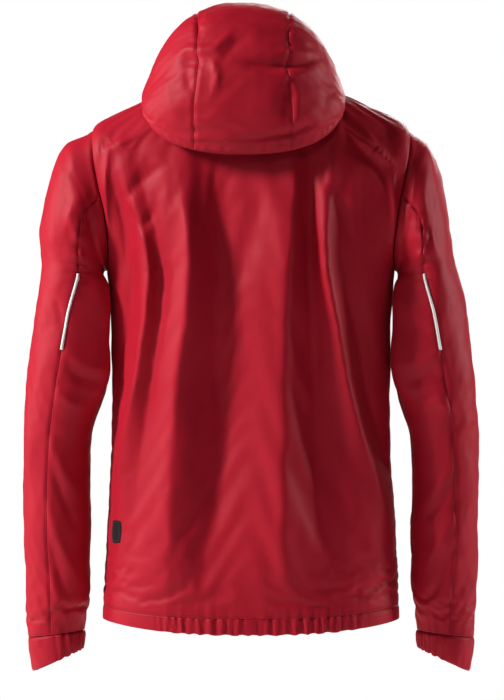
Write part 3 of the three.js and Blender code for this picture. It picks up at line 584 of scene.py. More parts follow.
SLEEVE_CREASES = {
    "left": [
        ([(214, -120), (222, -160), (214, -215)], -7, 9),
        ([(236, -128), (250, -162), (240, -205)], 4, 9),
        ([(262, -110), (252, -140), (238, -160)], -3.5, 8),
        ([(284, -262), (268, -292), (262, -330)], -3.5, 9),
        ([(232, -250), (222, -290), (216, -330)], 3.5, 9),
        ([(262, -345), (240, -368), (214, -382)], 4.5, 8),
        ([(258, -372), (236, -392), (214, -398)], -4.5, 8),
        ([(276, -405), (250, -424), (230, -430)], 4, 9),
        ([(284, -470), (262, -520), (238, -560)], 4.5, 8),
        ([(282, -500), (264, -552), (244, -600)], -4.5, 9),
        ([(286, -560), (268, -620), (246, -668)], 4, 8),
        ([(284, -610), (272, -650), (256, -700)], -4, 8),
        ([(282, -660), (270, -700), (258, -736)], 3.5, 6),
        ([(312, -420), (308, -480), (310, -560)], 2.2, 12),
    ],
    "right": [
        ([(212, -112), (208, -150), (210, -215)], -7, 9),
        ([(232, -108), (226, -140), (214, -158)], 4.5, 8),
        ([(222, -172), (240, -196), (236, -226)], 3.5, 9),
        ([(238, -160), (250, -190), (246, -220)], -3, 9),
        ([(216, -262), (236, -300), (262, -330)], 3, 11),
        ([(224, -372), (250, -356), (276, -350)], 4, 9),
        ([(226, -396), (252, -384), (284, -392)], -4.5, 9),
        ([(236, -430), (262, -420), (286, -440)], 4, 9),
        ([(242, -560), (262, -540), (282, -505)], 4.5, 8),
        ([(240, -590), (264, -566), (282, -530)], -4, 8),
        ([(246, -650), (264, -620), (284, -575)], 4, 8),
        ([(250, -700), (266, -668), (284, -630)], -4, 8),
        ([(262, -735), (270, -706), (284, -680)], 3, 6),
    ],
}


SLEEVE_FOLD = 19
HEAD_PUSH = 8
# How far each sleeve head stands out beyond its plain form, by depth below the neck.
SLEEVE_OUTLINE = {
    "left": ((25, 0), (52, 15), (80, 11), (112, 9), (160, 5), (230, 0)),
    "right": ((25, 0), (48, 9), (62, 4), (92, -4), (130, -9), (175, -14), (217, -9), (270, 0)),
}


@lru_cache(None)
def sleeve_field(side):
    """A sleeve's cloth: rows from the armhole to the cuff's end, columns round from the outside."""
    theta = np.linspace(0, 2 * math.pi, 73)
    k = np.linspace(0, CUFF_END_K, 131)
    points = sleeve_form(theta[None, :], k[:, None])
    x, y, z = np.moveaxis(points, -1, 0)
    rear = smooth(np.sin(theta)[None, :], -0.15, 0.45)
    rise = np.zeros(x.shape)
    for line, height, half_width in SLEEVE_CREASES[side]:
        rise += crease(x, z, line, height, half_width)
    seam = elbow_seam(np.clip(k, 0, CUFF_SEAM_K))[:, None]
    near = np.exp(-((np.sin((theta[None, :] - seam) / 2) * 100 / 16) ** 2))
    near = near * np.exp(-(((z + 200) / 62) ** 2))
    rise += 1.6 * near * np.sin(z / 2.9 + 1.6 * np.sin(z / 13))
    front = smooth(-np.sin(theta)[None, :], -0.1, 0.5)
    rise += 3.2 * front * np.sin((z + 0.7 * (x - 270)) / 15) * np.exp(-(((z + 400) / 95) ** 2))
    rise = rise * np.maximum(rear, front)
    seed = 21 if side == "left" else 34
    rise += 1.0 * waves(x + y, z * 0.8, seed, (40, 100)) + 0.35 * waves(x + y, z, seed + 1, (15, 30))
    gather = 1.7 * np.sin(theta * 26 + 1.5 * np.sin(theta * 5)) * smooth(-np.cos(theta), -0.2, 0.5)
    rise += gather[None, :] * np.exp(-(((z - (CUFF_Z + CUFF_BAND)) / 26) ** 2))
    rise *= smooth(k, 0, 0.8)[:, None]
    from_fold = theta[None, :] - math.radians(136)
    inner_fold = np.exp(-((from_fold / math.radians(21)) ** 2))
    inner_fold = inner_fold * smooth(-z, 222, 262) * (1 - smooth(-z, 385, 440))
    normal = normals_of(points)
    outward = points - points.mean(axis=1, keepdims=True)
    normal *= np.sign((normal * outward).sum(-1, keepdims=True))
    points += normal * rise[..., None]
    outer = smooth(np.cos(theta)[None, :], -0.1, 0.7) * smooth(k, 0.05, 0.5)[:, None]
    levels, pushes = zip(*SLEEVE_OUTLINE[side])
    points[..., 0] += np.interp(-z, levels, pushes) * outer - SLEEVE_FOLD * inner_fold
    head = smooth(k, 0.1, 0.6) * (1 - smooth(k, 1.9, 3.1))
    points[..., 1] -= HEAD_PUSH * head[:, None] * smooth(np.sin(theta)[None, :], 0, 0.6)
    points[:, -1] = points[:, 0]
    ends = (1 - smooth(k, 0.3, 1.2)) + smooth(k, 8.6, 9)
    points = settle_cloth("sleeve_form", points, np.clip(0.24 + ends[:, None] + 0 * x, 0, 1), cyclic=True)
    loop = body_on_side(side)
    rim = armhole_loop(theta, loop)
    fade = (1 - smooth(k, 0, 0.7))[:, None, None]
    points += (rim - points[0])[None] * fade
    points[:, -1] = points[:, 0]
    return points


def body_on_side(side):
    """Reads the draped body as if the wearer's left were their right."""
    if side == "right":
        return body_point

    def point(angle, s):
        return body_point(2 * math.pi - angle, s) * np.array([-1, 1, 1])

    return point


def sleeve_point(side, theta, k):
    """A point of a settled sleeve."""
    grid = sleeve_field(side)
    column = (np.asarray(theta) % (2 * math.pi)) / (2 * math.pi) * (grid.shape[1] - 1)
    return read_field(grid, column, np.clip(k, 0, CUFF_END_K) / CUFF_END_K * (grid.shape[0] - 1))


# ---------- making pieces ----------
def settle_cloth(name, points, hold, cyclic):
    """Lets a form settle as cloth cut a little full, so that it crumples where it is held loosely."""
    rows, columns = points.shape[:2]
    obj = link(name, grid_mesh(name, points))
    if cyclic:
        weld = obj.modifiers.new("weld", "WELD")
        weld.merge_threshold = 1e-6
        settle(obj)
    spots = np.zeros(len(obj.data.vertices), int)
    obj.data.attributes["spot"].data.foreach_get("value", spots)
    group = obj.vertex_groups.new(name="hold")
    shares = hold.reshape(-1)[spots]
    for level in np.unique(np.round(shares, 2)):
        group.add([int(i) for i in np.nonzero(np.round(shares, 2) == level)[0]], float(level), "REPLACE")
    cloth = obj.modifiers.new("cloth", "CLOTH")
    rule = cloth.settings
    rule.quality = 4
    rule.mass = 0.12
    rule.tension_stiffness = rule.compression_stiffness = 18
    rule.shear_stiffness = 6
    rule.bending_stiffness = 2.5
    rule.tension_damping = rule.compression_damping = 12
    rule.vertex_group_mass = "hold"
    rule.pin_stiffness = sizes().hold
    rule.shrink_min = -sizes().fullness
    cloth.collision_settings.use_collision = False
    cloth.point_cache.frame_start = 1
    cloth.point_cache.frame_end = SETTLE_FRAMES
    for moment in range(1, SETTLE_FRAMES + 1):
        bpy.context.scene.frame_set(moment)
    graph = bpy.context.evaluated_depsgraph_get()
    made = obj.evaluated_get(graph).to_mesh()
    places = np.zeros(len(made.vertices) * 3)
    made.vertices.foreach_get("co", places)
    moved = points.reshape(-1, 3).copy()
    moved[spots] = places.reshape(-1, 3) * 1000
    moved = moved.reshape(points.shape)
    if cyclic:
        first = np.isin(np.arange(rows) * columns, spots)
        moved[first, -1] = moved[first, 0]
        moved[~first, 0] = moved[~first, -1]
    step = moved - points
    far = np.linalg.norm(step, axis=-1, keepdims=True)
    moved = points + step * np.minimum(1, MOST_SETTLED / np.maximum(far, 1e-6))
    bpy.data.objects.remove(obj)
    bpy.context.scene.frame_set(1)
    return moved


def graded(length, step, low=True, high=True):
    """Shares 0 to 1 along a length, closer together beside a seam."""
    beside = (1.3, 3, 5.5)
    start = [0, *beside] if low else [0]
    end = [length] + [length - d for d in beside] if high else [length]
    inner_low = SEAM_MARGIN if low else 0
    inner_high = length - SEAM_MARGIN if high else length
    count = max(2, round((inner_high - inner_low) / step))
    middle = np.linspace(inner_low, inner_high, count + 1)
    return np.unique(np.concatenate([start, middle, end])) / length


def grid_mesh(name, points, uv=None, stitch=None, flip=False):
    """A mesh made from a grid operator and laid on rows of points, given in millimetres."""
    rows, columns = points.shape[:2]
    bm = bmesh.new()
    bmesh.ops.create_grid(bm, x_segments=columns - 1, y_segments=rows - 1, size=1)
    uv_layer = bm.loops.layers.uv.new("UVMap")
    stitch_layer = bm.verts.layers.float_vector.new("stitch")
    spot_layer = bm.verts.layers.int.new("spot")
    for v in bm.verts:
        i = round((v.co.x + 1) / 2 * (columns - 1))
        j = round((v.co.y + 1) / 2 * (rows - 1))
        v[spot_layer] = j * columns + i
        if stitch is not None:
            v[stitch_layer] = stitch[j, i]
        if uv is not None:
            for loop in v.link_loops:
                loop[uv_layer].uv = uv[j, i]
        v.co = points[j, i] / 1000
    if flip:
        bmesh.ops.reverse_faces(bm, faces=bm.faces)
    mesh = bpy.data.meshes.new(name)
    bm.to_mesh(mesh)
    bm.free()
    return mesh


def link(name, mesh, *materials):
    obj = bpy.data.objects.new(name, mesh)
    bpy.context.scene.collection.objects.link(obj)
    for material in materials:
        mesh.materials.append(material)
    mesh.polygons.foreach_set("use_smooth", [True] * len(mesh.polygons))
    return obj


def settle(obj):
    """Applies an object's modifiers to its mesh."""
    graph = bpy.context.evaluated_depsgraph_get()
    shape = obj.evaluated_get(graph)
    made = bpy.data.meshes.new_from_object(shape, preserve_all_data_layers=True, depsgraph=graph)
    obj.modifiers.clear()
    old = obj.data
    obj.data = made
    bpy.data.meshes.remove(old)
    made.name = obj.name
    return obj


def thicken(obj, thickness):
    """Gives a cloth face its back, turned towards the wearer."""
    wall = obj.modifiers.new("wall", "SOLIDIFY")
    wall.thickness = thickness / 1000
    wall.offset = -1
    wall.use_even_offset = False
    if len(obj.data.materials) > 1:
        wall.material_offset = 1
    return settle(obj)


def cloth_piece(
    name,
    us,
    vs,
    place,
    materials,
    seams="lrbt",
    soft="",
    dip=None,
    thickness=None,
    pucker=0.0,
    mirror=False,
    weld=False,
    depth=0.0,
):
    """A sewn panel, whose edges dip into their seams.

    Each point keeps its distance from the nearest seam and its way along it, for the stitching.
    """
    dip = sizes().seam_dip if dip is None else dip
    thickness = sizes().cloth if thickness is None else thickness
    u, v = np.meshgrid(us, vs)
    points = place(u, v)
    sunk = depth(u, v) if callable(depth) else depth
    points = points - normals_of(points) * np.asarray(sunk)[..., None]
    if mirror:
        points = points * np.array([-1, 1, 1])
    across = np.zeros(u.shape)
    across[:, 1:] = np.cumsum(np.linalg.norm(np.diff(points, axis=1), axis=-1), axis=1)
    along = np.zeros(u.shape)
    along[1:] = np.cumsum(np.linalg.norm(np.diff(points, axis=0), axis=-1), axis=0)
    choices = {
        "l": (across, along),
        "r": (across[:, -1:] - across, along),
        "b": (along, across),
        "t": (along[-1:] - along, across),
    }
    distance = np.full(u.shape, UNSEWN)
    run = np.zeros(u.shape)
    sink = np.full(u.shape, dip)
    for side in seams:
        d, other = choices[side]
        nearer = d < distance
        distance, run = np.where(nearer, d, distance), np.where(nearer, other, run)
        sink = np.where(nearer, SOFT_SEAM * dip if side in soft else dip, sink)
    normal = normals_of(points) * (-1 if mirror else 1)
    groove = -sink * np.exp(-((distance / 2.6) ** 2))
    swell = 0.35 * sink * np.exp(-(((distance - 6) / 3) ** 2))
    ripple = pucker * np.sin(run / 2.3 + 1.7 * np.sin(run / 9.0))
    ripple = ripple * np.exp(-((distance / 9) ** 2)) * (1 - np.exp(-((distance / 2.5) ** 2)))
    points = points + normal * (groove + swell + ripple)[..., None]
    uv = np.stack([across, along], -1) / 1000
    stitch = np.stack([distance, run, 0 * run], -1)
    mesh = grid_mesh(name, points, uv, stitch, flip=mirror)
    if weld:
        bm = bmesh.new()
        bm.from_mesh(mesh)
        bmesh.ops.remove_doubles(bm, verts=bm.verts, dist=1e-5)
        bm.to_mesh(mesh)
        bm.free()
    obj = link(name, mesh, *materials)
    obj["cut"] = [float(across[:, -1].mean()) / 1000, float(along[-1].mean()) / 1000]
    obj["cut_area"] = sum(p.area for p in mesh.polygons)
    return thicken(obj, thickness)


def sewn(obj, body, nodes, blend=None):
    """Hides the frame pieces a cloth piece stands for, and parents it to the body it moves with; a piece
    given a blend only has its transform baked in.
    """
    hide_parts(*nodes)
    if blend:
        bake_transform(obj)
    else:
        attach(obj, body)
    return obj


# ---------- materials ----------
def new_group(name, inputs, outputs):
    group = bpy.data.node_groups.new(name, "ShaderNodeTree")
    for kind, sockets in (("INPUT", inputs), ("OUTPUT", outputs)):
        for label, socket_type, default in sockets:
            socket = group.interface.new_socket(name=label, in_out=kind, socket_type=socket_type)
            if default is not None:
                socket.default_value = default
    return group


def add(tree, kind, **settings):
    node = tree.nodes.new(kind)
    for key, value in settings.items():
        if key.startswith("in_"):
            index = int(key[3:]) if key[3:].isdigit() else key[3:]
            node.inputs[index].default_value = value
        else:
            setattr(node, key, value)
    return node


def join(tree, *pairs):
    for source, target in pairs:
        tree.links.new(source, target)


def math_node(tree, operation, *values):
    node = add(tree, "ShaderNodeMath", operation=operation)
    for i, value in enumerate(values):
        if isinstance(value, (int, float)):
            node.inputs[i].default_value = value
        else:
            tree.links.new(value, node.inputs[i])
    return node.outputs[0]


RIB_TURN = 6.283
STITCH_HALF, STITCH_BEAT, STITCH_OPEN = 0.42, 2.1, -0.45


@lru_cache(None)
def cloth_group():
    """Nylon taffeta, with fine cross-ribs, faint creasing and rows of stitches beside the seams; its colour
    is partly painted shade, darker in the hollows of the creasing, and partly random.
    """
    number = "NodeSocketFloat"
    tree = new_group(
        "taffeta",
        [("Rib size", number, 0.0011), ("Crease size", number, 55.0), ("Stitch gap", number, 3.0)],
        [(label, number, None) for label in ("Tone_with_crease_shade", "Stitch", "Roughness", "Height")],
    )
    given, out = add(tree, "NodeGroupInput"), add(tree, "NodeGroupOutput")
    where, uv = add(tree, "ShaderNodeTexCoord"), add(tree, "ShaderNodeUVMap", uv_map="UVMap")
    split = add(tree, "ShaderNodeSeparateXYZ")
    join(tree, (uv.outputs[0], split.inputs[0]))

    def rib(axis):
        scaled = math_node(tree, "DIVIDE", split.outputs[axis], given.outputs["Rib size"])
        return math_node(tree, "SINE", math_node(tree, "MULTIPLY", scaled, RIB_TURN))

    weave = math_node(tree, "ADD", rib(0), rib(1))
    cloud = add(tree, "ShaderNodeTexNoise", in_Detail=3.0, in_Roughness=0.55)
    soft = add(tree, "ShaderNodeTexNoise", in_Scale=9.0, in_Detail=2.0)
    stitch = add(tree, "ShaderNodeAttribute", attribute_name="stitch")
    parts = add(tree, "ShaderNodeSeparateXYZ")
    join(
        tree,
        (where.outputs["Object"], cloud.inputs["Vector"]),
        (given.outputs["Crease size"], cloud.inputs["Scale"]),
        (where.outputs["Object"], soft.inputs["Vector"]),
        (stitch.outputs["Vector"], parts.inputs[0]),
    )
    away = math_node(tree, "SUBTRACT", parts.outputs[0], given.outputs["Stitch gap"])
    row = math_node(tree, "LESS_THAN", math_node(tree, "ABSOLUTE", away), STITCH_HALF)
    beat = math_node(tree, "SINE", math_node(tree, "MULTIPLY", parts.outputs[1], STITCH_BEAT))
    dash = math_node(tree, "GREATER_THAN", beat, STITCH_OPEN)
    thread = math_node(tree, "MULTIPLY", row, dash)
    # Painted shade: part of the colour mix follows the crease noise that also raises the bump, so the
    # crease hollows come out darker; the rest varies at random.
    fine = math_node(tree, "MULTIPLY", cloud.outputs[0], 0.35)
    tone_with_crease_shade = math_node(tree, "ADD", fine, math_node(tree, "MULTIPLY", soft.outputs[0], 0.65))
    rough = math_node(tree, "MULTIPLY_ADD", cloud.outputs[0], 0.12, 0.46)
    height = math_node(tree, "ADD", math_node(tree, "MULTIPLY", weave, 0.04), cloud.outputs[0])
    height = math_node(tree, "ADD", height, math_node(tree, "MULTIPLY", thread, 0.5))
    join(
        tree,
        (tone_with_crease_shade, out.inputs["Tone_with_crease_shade"]),
        (thread, out.inputs["Stitch"]),
        (rough, out.inputs["Roughness"]),
        (height, out.inputs["Height"]),
    )
    return tree


@lru_cache(None)
def cloth_material(name, colour, deep, thread, sheen, bump):
    """A dyed cloth with its weave, creasing and stitching; it runs towards the deeper colour at random and,
    as painted shade, in the hollows of the creasing.
    """
    material = bpy.data.materials.new(name)
    material.use_nodes = True
    tree = material.node_tree
    shader = tree.nodes["Principled BSDF"]
    group = add(tree, "ShaderNodeGroup", node_tree=cloth_group())
    mix = add(tree, "ShaderNodeMix", data_type="RGBA")
    # deep is the painted shade of the crease hollows, and also the darker side of the random colour.
    mix.inputs[6].default_value, mix.inputs[7].default_value = (*deep, 1), (*colour, 1)
    sew = add(tree, "ShaderNodeMix", data_type="RGBA")
    sew.inputs[7].default_value = (*thread, 1)
    relief = add(tree, "ShaderNodeBump", in_Strength=bump, in_Distance=0.0006)
    shader.inputs["Sheen Weight"].default_value = sheen
    shader.inputs["Sheen Roughness"].default_value = 0.4
    shader.inputs["Sheen Tint"].default_value = (1.0, 0.5, 0.5, 1)
    shader.inputs["Specular IOR Level"].default_value = 0.14
    join(
        tree,
        (group.outputs["Tone_with_crease_shade"], mix.inputs[0]),
        (mix.outputs[2], sew.inputs[6]),
        (group.outputs["Stitch"], sew.inputs[0]),
        (sew.outputs[2], shader.inputs["Base Color"]),
        (group.outputs["Roughness"], shader.inputs["Roughness"]),
        (group.outputs["Height"], relief.inputs["Height"]),
        (relief.outputs[0], shader.inputs["Normal"]),
    )
    return material


@lru_cache(None)
def hard_material(name, colour, worn, roughness, metallic):
    """Moulded or plated trim: a fine grain, and a little wear in scattered patches."""
    material = bpy.data.materials.new(name)
    material.use_nodes = True
    tree = material.node_tree
    shader = tree.nodes["Principled BSDF"]
    where = add(tree, "ShaderNodeTexCoord")
    grain = add(tree, "ShaderNodeTexNoise", in_Scale=900.0, in_Detail=2.0)
    patches = add(tree, "ShaderNodeTexNoise", in_Scale=60.0, in_Detail=4.0)
    mix = add(tree, "ShaderNodeMix", data_type="RGBA")
    mix.inputs[6].default_value, mix.inputs[7].default_value = (*colour, 1), (*worn, 1)
    share = math_node(tree, "POWER", patches.outputs[0], 3.0)
    rough = math_node(tree, "MULTIPLY_ADD", patches.outputs[0], 0.2, roughness - 0.1)
    relief = add(tree, "ShaderNodeBump", in_Strength=0.25, in_Distance=0.0002)
    shader.inputs["Metallic"].default_value = metallic
    join(
        tree,
        (where.outputs["Object"], grain.inputs["Vector"]),
        (where.outputs["Object"], patches.inputs["Vector"]),
        (share, mix.inputs[0]),
        (mix.outputs[2], shader.inputs["Base Color"]),
        (rough, shader.inputs["Roughness"]),
        (grain.outputs[0], relief.inputs["Height"]),
        (relief.outputs[0], shader.inputs["Normal"]),
    )
    return material


def shade(colour, factor):
    return tuple(c * factor for c in colour)


def looks():
    return bpy.context.scene.jacket_looks


def sizes():
    return bpy.context.scene.jacket_sizes


def shell():
    red = tuple(looks().shell)
    return cloth_material("shell_taffeta", red, shade(red, 0.82), shade(red, 0.45), 0.04, 0.35)


def lining():
    grey = tuple(looks().lining)
    return cloth_material("lining_coat", grey, shade(grey, 0.8), shade(grey, 0.5), 0.1, 0.2)


def laminate():
    """The outer cloth and its coated back."""
    return shell(), lining()


def webbing():
    black = tuple(looks().trim)
    return cloth_material("woven_tape", black, shade(black, 0.6), shade(black, 2.5), 0.2, 0.8)


def fleece():
    grey = (0.03, 0.03, 0.034)
    return cloth_material("brushed_tricot", grey, shade(grey, 0.7), shade(grey, 2), 0.5, 1.0)


def glass_bead():
    """Retro-reflective film: pale grey, finely beaded."""
    return hard_material("glass_bead_film", (0.86, 0.85, 0.83), (0.7, 0.69, 0.68), 0.45, 0.0)


def moulded():
    black = tuple(looks().trim)
    return hard_material("moulded_nylon", black, shade(black, 2.2), 0.45, 0.0)


def plated():
    return hard_material("plated_zinc", (0.05, 0.05, 0.055), (0.25, 0.25, 0.26), 0.32, 0.9)


class JacketSizes(bpy.types.PropertyGroup):
    cloth: FloatProperty(
        name="Cloth", description="Thickness of the laminate, in millimetres", default=0.9, min=0.2, max=2
    )
    seam_dip: FloatProperty(
        name="Seam dip",
        description="How far a panel's edge sinks into its seam, in millimetres",
        default=1.1,
        min=0,
        max=3,
    )
    step: FloatProperty(
        name="Step",
        description="Distance between rows of a panel's mesh, in millimetres",
        default=4.0,
        min=3,
        max=20,
    )
    gather: FloatProperty(
        name="Gather",
        description="Height of the gathers at the elastic hem, in millimetres",
        default=1.1,
        min=0,
        max=3,
    )
    fullness: FloatProperty(
        name="Fullness",
        description="How much too large the cloth is cut before it settles",
        default=0.001,
        min=0,
        max=0.1,
        subtype="FACTOR",
    )
    hold: FloatProperty(
        name="Hold",
        description="How firmly the wearer's shape holds the settling cloth",
        default=1.2,
        min=0,
        max=5,
    )


def dye(name, description, colour):
    return FloatVectorProperty(
        name=name, description=description, subtype="COLOR", size=3, default=colour, min=0, max=1
    )


class JacketLooks(bpy.types.PropertyGroup):
    shell: dye("Shell", "Dye of the outer cloth", (0.46, 0.0085, 0.024))
    lining: dye("Lining", "Coated inner face", (0.10, 0.006, 0.012))
    trim: dye("Trim", "Tapes, pulls and locks", (0.012, 0.012, 0.014))
    backdrop: dye("Backdrop", "Floor", (0.8, 0.8, 0.8))


def both(side):
    """Whether a side's panels are mirrored, and the sign of its x."""
    return (side == "left", -1 if side == "left" else 1)


def face_out(bm):
    bm.normal_update()
    bmesh.ops.recalc_face_normals(bm, faces=bm.faces)


def cut_slot(panel, place):
    """Opens a front panel along its pocket zip."""
    bm = bmesh.new()
    bmesh.ops.create_cube(bm, size=1)
    for v in bm.verts:
        along = (v.co.z - 0.5) * (POCKET_LENGTH + SLOT_SPARE) + SLOT_SPARE / 2
        v.co = Vector(place.at(v.co.x * SLOT_WIDTH, v.co.y * SLOT_DEPTH, along)) / 1000
    face_out(bm)
    mesh = bpy.data.meshes.new("slot")
    bm.to_mesh(mesh)
    bm.free()
    cutter = link("slot", mesh)
    cut = panel.modifiers.new("slot", "BOOLEAN")
    cut.operation = "DIFFERENCE"
    cut.solver = "EXACT"
    cut.object = cutter
    settle(panel)
    bpy.data.objects.remove(cutter)


class JACKET_OT_body(bpy.types.Operator):
    """Back, fronts and front yokes, cut from the draped body"""

    bl_idname = "jacket.body"
    bl_label = "Body panels"

    def execute(self, context):
        low = (HEM_BAND - SEAM_GAP) * SEAM_STEP
        step = sizes().step
        tall = graded(-HEM_Z, step)

        def back(u, v):
            s = low + (NECK_S - low) * v
            edge = rear_seam(s)
            return hem_gather(body_point((edge * (2 * u - 1)) % (2 * math.pi), s))

        panel = cloth_piece("back_cloth", graded(430, 0.8 * step), tall, back, laminate(), soft="b")
        sewn(panel, "torso", ["back_panel"])
        for side in ("left", "right"):
            mirror, _ = both(side)
            point = body_on_side(side)

            def front(u, v):
                s = low + (SHOULDER_S - low) * v
                start, end = front_seam(s), front_angle(FRONT_EDGE, s)
                return point(start + (end - start) * u, s)

            def yoke(u, v):
                s = SHOULDER_S + (NECK_S - SHOULDER_S) * v
                start, end = front_seam(s), front_angle(FRONT_EDGE, s)
                return point(start + (end - start) * u, s)

            panel = cloth_piece(
                "front_cloth_" + side,
                graded(270, step),
                graded(640, step),
                front,
                laminate(),
                soft="b",
                mirror=mirror,
            )
            cut_slot(panel, pocket_place() if side == "right" else pocket_place().mirrored())
            sewn(panel, "torso", ["front_panel_" + side])
            panel = cloth_piece(
                "yoke_cloth_" + side,
                graded(230, step),
                graded(125, step),
                yoke,
                laminate(),
                mirror=mirror,
            )
            sewn(panel, "torso", ["front_yoke_" + side])
        return {"FINISHED"}


def fold_path(v, height, depth):
    """A turned-up edge, as depths and heights.

    It runs from the top of the inner layer down, round the fold and up the outer layer.
    """
    radius = depth / 2
    straight = height - radius
    turn = math.pi * radius
    length = (1 - v) * (2 * straight + turn)
    angle = np.clip((length - straight) / radius, 0, math.pi)
    down = length < straight
    up = length > straight + turn
    deep = np.where(down, 0, np.where(up, depth, radius * (1 - np.cos(angle))))
    rising = length - straight - turn + radius
    high = np.where(down, height - length, np.where(up, rising, radius - radius * np.sin(angle)))
    return deep, high


def fold_rows(height, depth, step):
    """Row shares down one layer of a turned-up edge and up the other, finer round its fold."""
    radius = depth / 2
    total = 2 * (height - radius) + math.pi * radius
    straight = (height - radius) / total
    side = np.linspace(0, straight, max(3, round((height - radius) / step) + 1))
    return np.unique(np.concatenate([side, np.linspace(straight, 1 - straight, 8), 1 - side]))


def turned_edge(form, along, height, depth, v):
    """Points of a turned-up edge that hangs from form(along, height above the fold)."""
    deep, high = fold_path(v, height, depth)
    points = form(along, high)
    step = 1.5
    across = form(along + 1e-3, high) - form(along - 1e-3, high)
    upward = form(along, high + step) - form(along, high)
    return points, unit(np.cross(across, upward)), deep, high


class JACKET_OT_hem(bpy.types.Operator):
    """Hem: the turned-up band, gathered at the back, and the elastic inside it"""

    bl_idname = "jacket.hem"
    bl_label = "Hem"

    def execute(self, context):
        depth = 4.6
        height = HEM_BAND - SEAM_GAP
        edge = float(front_angle(FRONT_EDGE + 1, 0.0))

        def form(angle, high):
            return hem_gather(body_point(angle % (2 * math.pi), high * SEAM_STEP))

        def band(u, v):
            angle = edge * (2 * u - 1)
            points, normal, deep, high = turned_edge(form, angle, height, depth, v)
            x = points[..., 0]
            back = elastic_share(x, points[..., 1])
            puff = 0.6 * np.sin(math.pi * np.clip(high / height, 0, 1)) ** 0.6
            wrinkle = 0.5 * np.sin(x / 1.1 + 1.5 * np.sin(x / 7) + high / 5) * back
            points[..., 2] += 0.9 * back * np.sin(x / 3.3 + 1.2 * np.sin(x / 13)) * (1 - high / height)
            return points + normal * (puff + wrinkle - deep)[..., None]

        rows = fold_rows(height, depth, 3)
        piece = cloth_piece("hem_band_cloth", even(560), rows, band, laminate(), seams="bt", dip=0.3)
        sewn(piece, "torso", ["hem_band"])

        def elastic(u, v):
            return form(edge * 0.93 * (2 * u - 1), 6 + 12 * v)

        strip = cloth_piece(
            "hem_elastic_cloth",
            even(260),
            even(6),
            elastic,
            (webbing(),),
            seams="",
            depth=1.75,
            thickness=0.6,
        )
        sewn(strip, "torso", ["hem_elastic"])
        return {"FINISHED"}


class JACKET_OT_sleeves(bpy.types.Operator):
    """Upper and under sleeves, gathered cuffs and the reflective piping"""

    bl_idname = "jacket.sleeves"
    bl_label = "Sleeves"

    def execute(self, context):
        step = sizes().step
        for side in ("left", "right"):
            mirror, sign = both(side)
            name = "sleeve_" + side
            reach = Vector((0.85 * sign, 0, -0.53))
            start = Vector((sign * 0.206, 0.06, -0.24))
            blend = ("torso", name, start, start + reach * 0.15)

            def upper(u, v):
                k = CUFF_SEAM_K * v
                end = elbow_seam(k)
                return sleeve_point(side, FRONT_SLEEVE_SEAM + (end - FRONT_SLEEVE_SEAM) * u, k)

            def under(u, v):
                k = CUFF_SEAM_K * v
                start, end = elbow_seam(k), FRONT_SLEEVE_SEAM + 2 * math.pi
                return sleeve_point(side, start + (end - start) * u, k)

            for label, place, width in (("upper", upper, 170), ("under", under, 150)):
                panel = cloth_piece(
                    label + "_sleeve_cloth_" + side,
                    graded(width, step),
                    graded(740, step),
                    place,
                    laminate(),
                    soft="t",
                    mirror=mirror,
                )
                sewn(panel, name, [label + "_sleeve_" + side], blend=blend)
            self.cuff(side, mirror, name)
            self.piping(side, mirror, name, blend)
        return {"FINISHED"}

    def cuff(self, side, mirror, name):
        """The turned-up cuff, gathered on its inner half by the elastic inside it."""
        depth, height = 4.4, CUFF_BAND - SEAM_GAP

        def form(theta, high):
            return sleeve_point(side, -theta, CUFF_END_K - high / CUFF_BAND)

        def inner(theta):
            return smooth(-np.cos(theta), -0.15, 0.4)

        def tucks(theta, high):
            fine = 0.5 * np.sin(theta * 43 + high / 6)
            return inner(theta) * (1.1 * np.sin(theta * 27 + 2 * np.sin(theta * 5)) + fine)

        def band(u, v):
            theta = 2 * math.pi * u
            points, normal, deep, high = turned_edge(form, theta, height, depth, v)
            puff = 1.2 * np.sin(math.pi * np.clip(high / height, 0, 1)) ** 0.6
            points[..., 2] += 0.8 * inner(theta) * np.sin(theta * 19) * (1 - high / height)
            return points + normal * (puff + tucks(theta, high) - deep)[..., None]

        piece = cloth_piece(
            "cuff_cloth_" + side,
            even(181),
            fold_rows(height, depth, 3),
            band,
            laminate(),
            seams="bt",
            dip=0.4,
            mirror=mirror,
            weld=True,
        )
        sewn(piece, name, ["cuff_band_" + side])

        def spot(u, v):
            return math.radians(95) + math.radians(170) * u, 7 + 12 * v

        strip = cloth_piece(
            "cuff_elastic_cloth_" + side,
            even(110),
            even(6),
            lambda u, v: form(*spot(u, v)),
            (webbing(),),
            seams="",
            depth=lambda u, v: 1.4 - tucks(*spot(u, v)),
            mirror=mirror,
            thickness=0.6,
        )
        sewn(strip, name, ["cuff_elastic_" + side])

    def piping(self, side, mirror, name, blend):
        """A half-round reflective cord let into the elbow seam."""
        half = math.radians(1.8)

        def cord(u, v):
            k = 3.1 + 1.4 * v
            points = sleeve_point(side, elbow_seam(k) - half * (2 * u - 1), k)
            axis = np.array([0, -1.0, 0])
            ends = np.clip(np.minimum(v, 1 - v) * 60, 0, 1) ** 0.5
            dome = 2.3 * np.sqrt(np.clip(1 - (2 * u - 1) ** 2, 0, 1)) * ends - 0.4
            return points + axis * dome[..., None]

        piece = cloth_piece(
            "piping_" + side,
            even(13),
            even(90),
            cord,
            (glass_bead(),),
            seams="",
            mirror=mirror,
            thickness=0.5,
        )
        nodes = ["reflective_piping_" + side]
        sewn(piece, name, nodes, blend=blend)


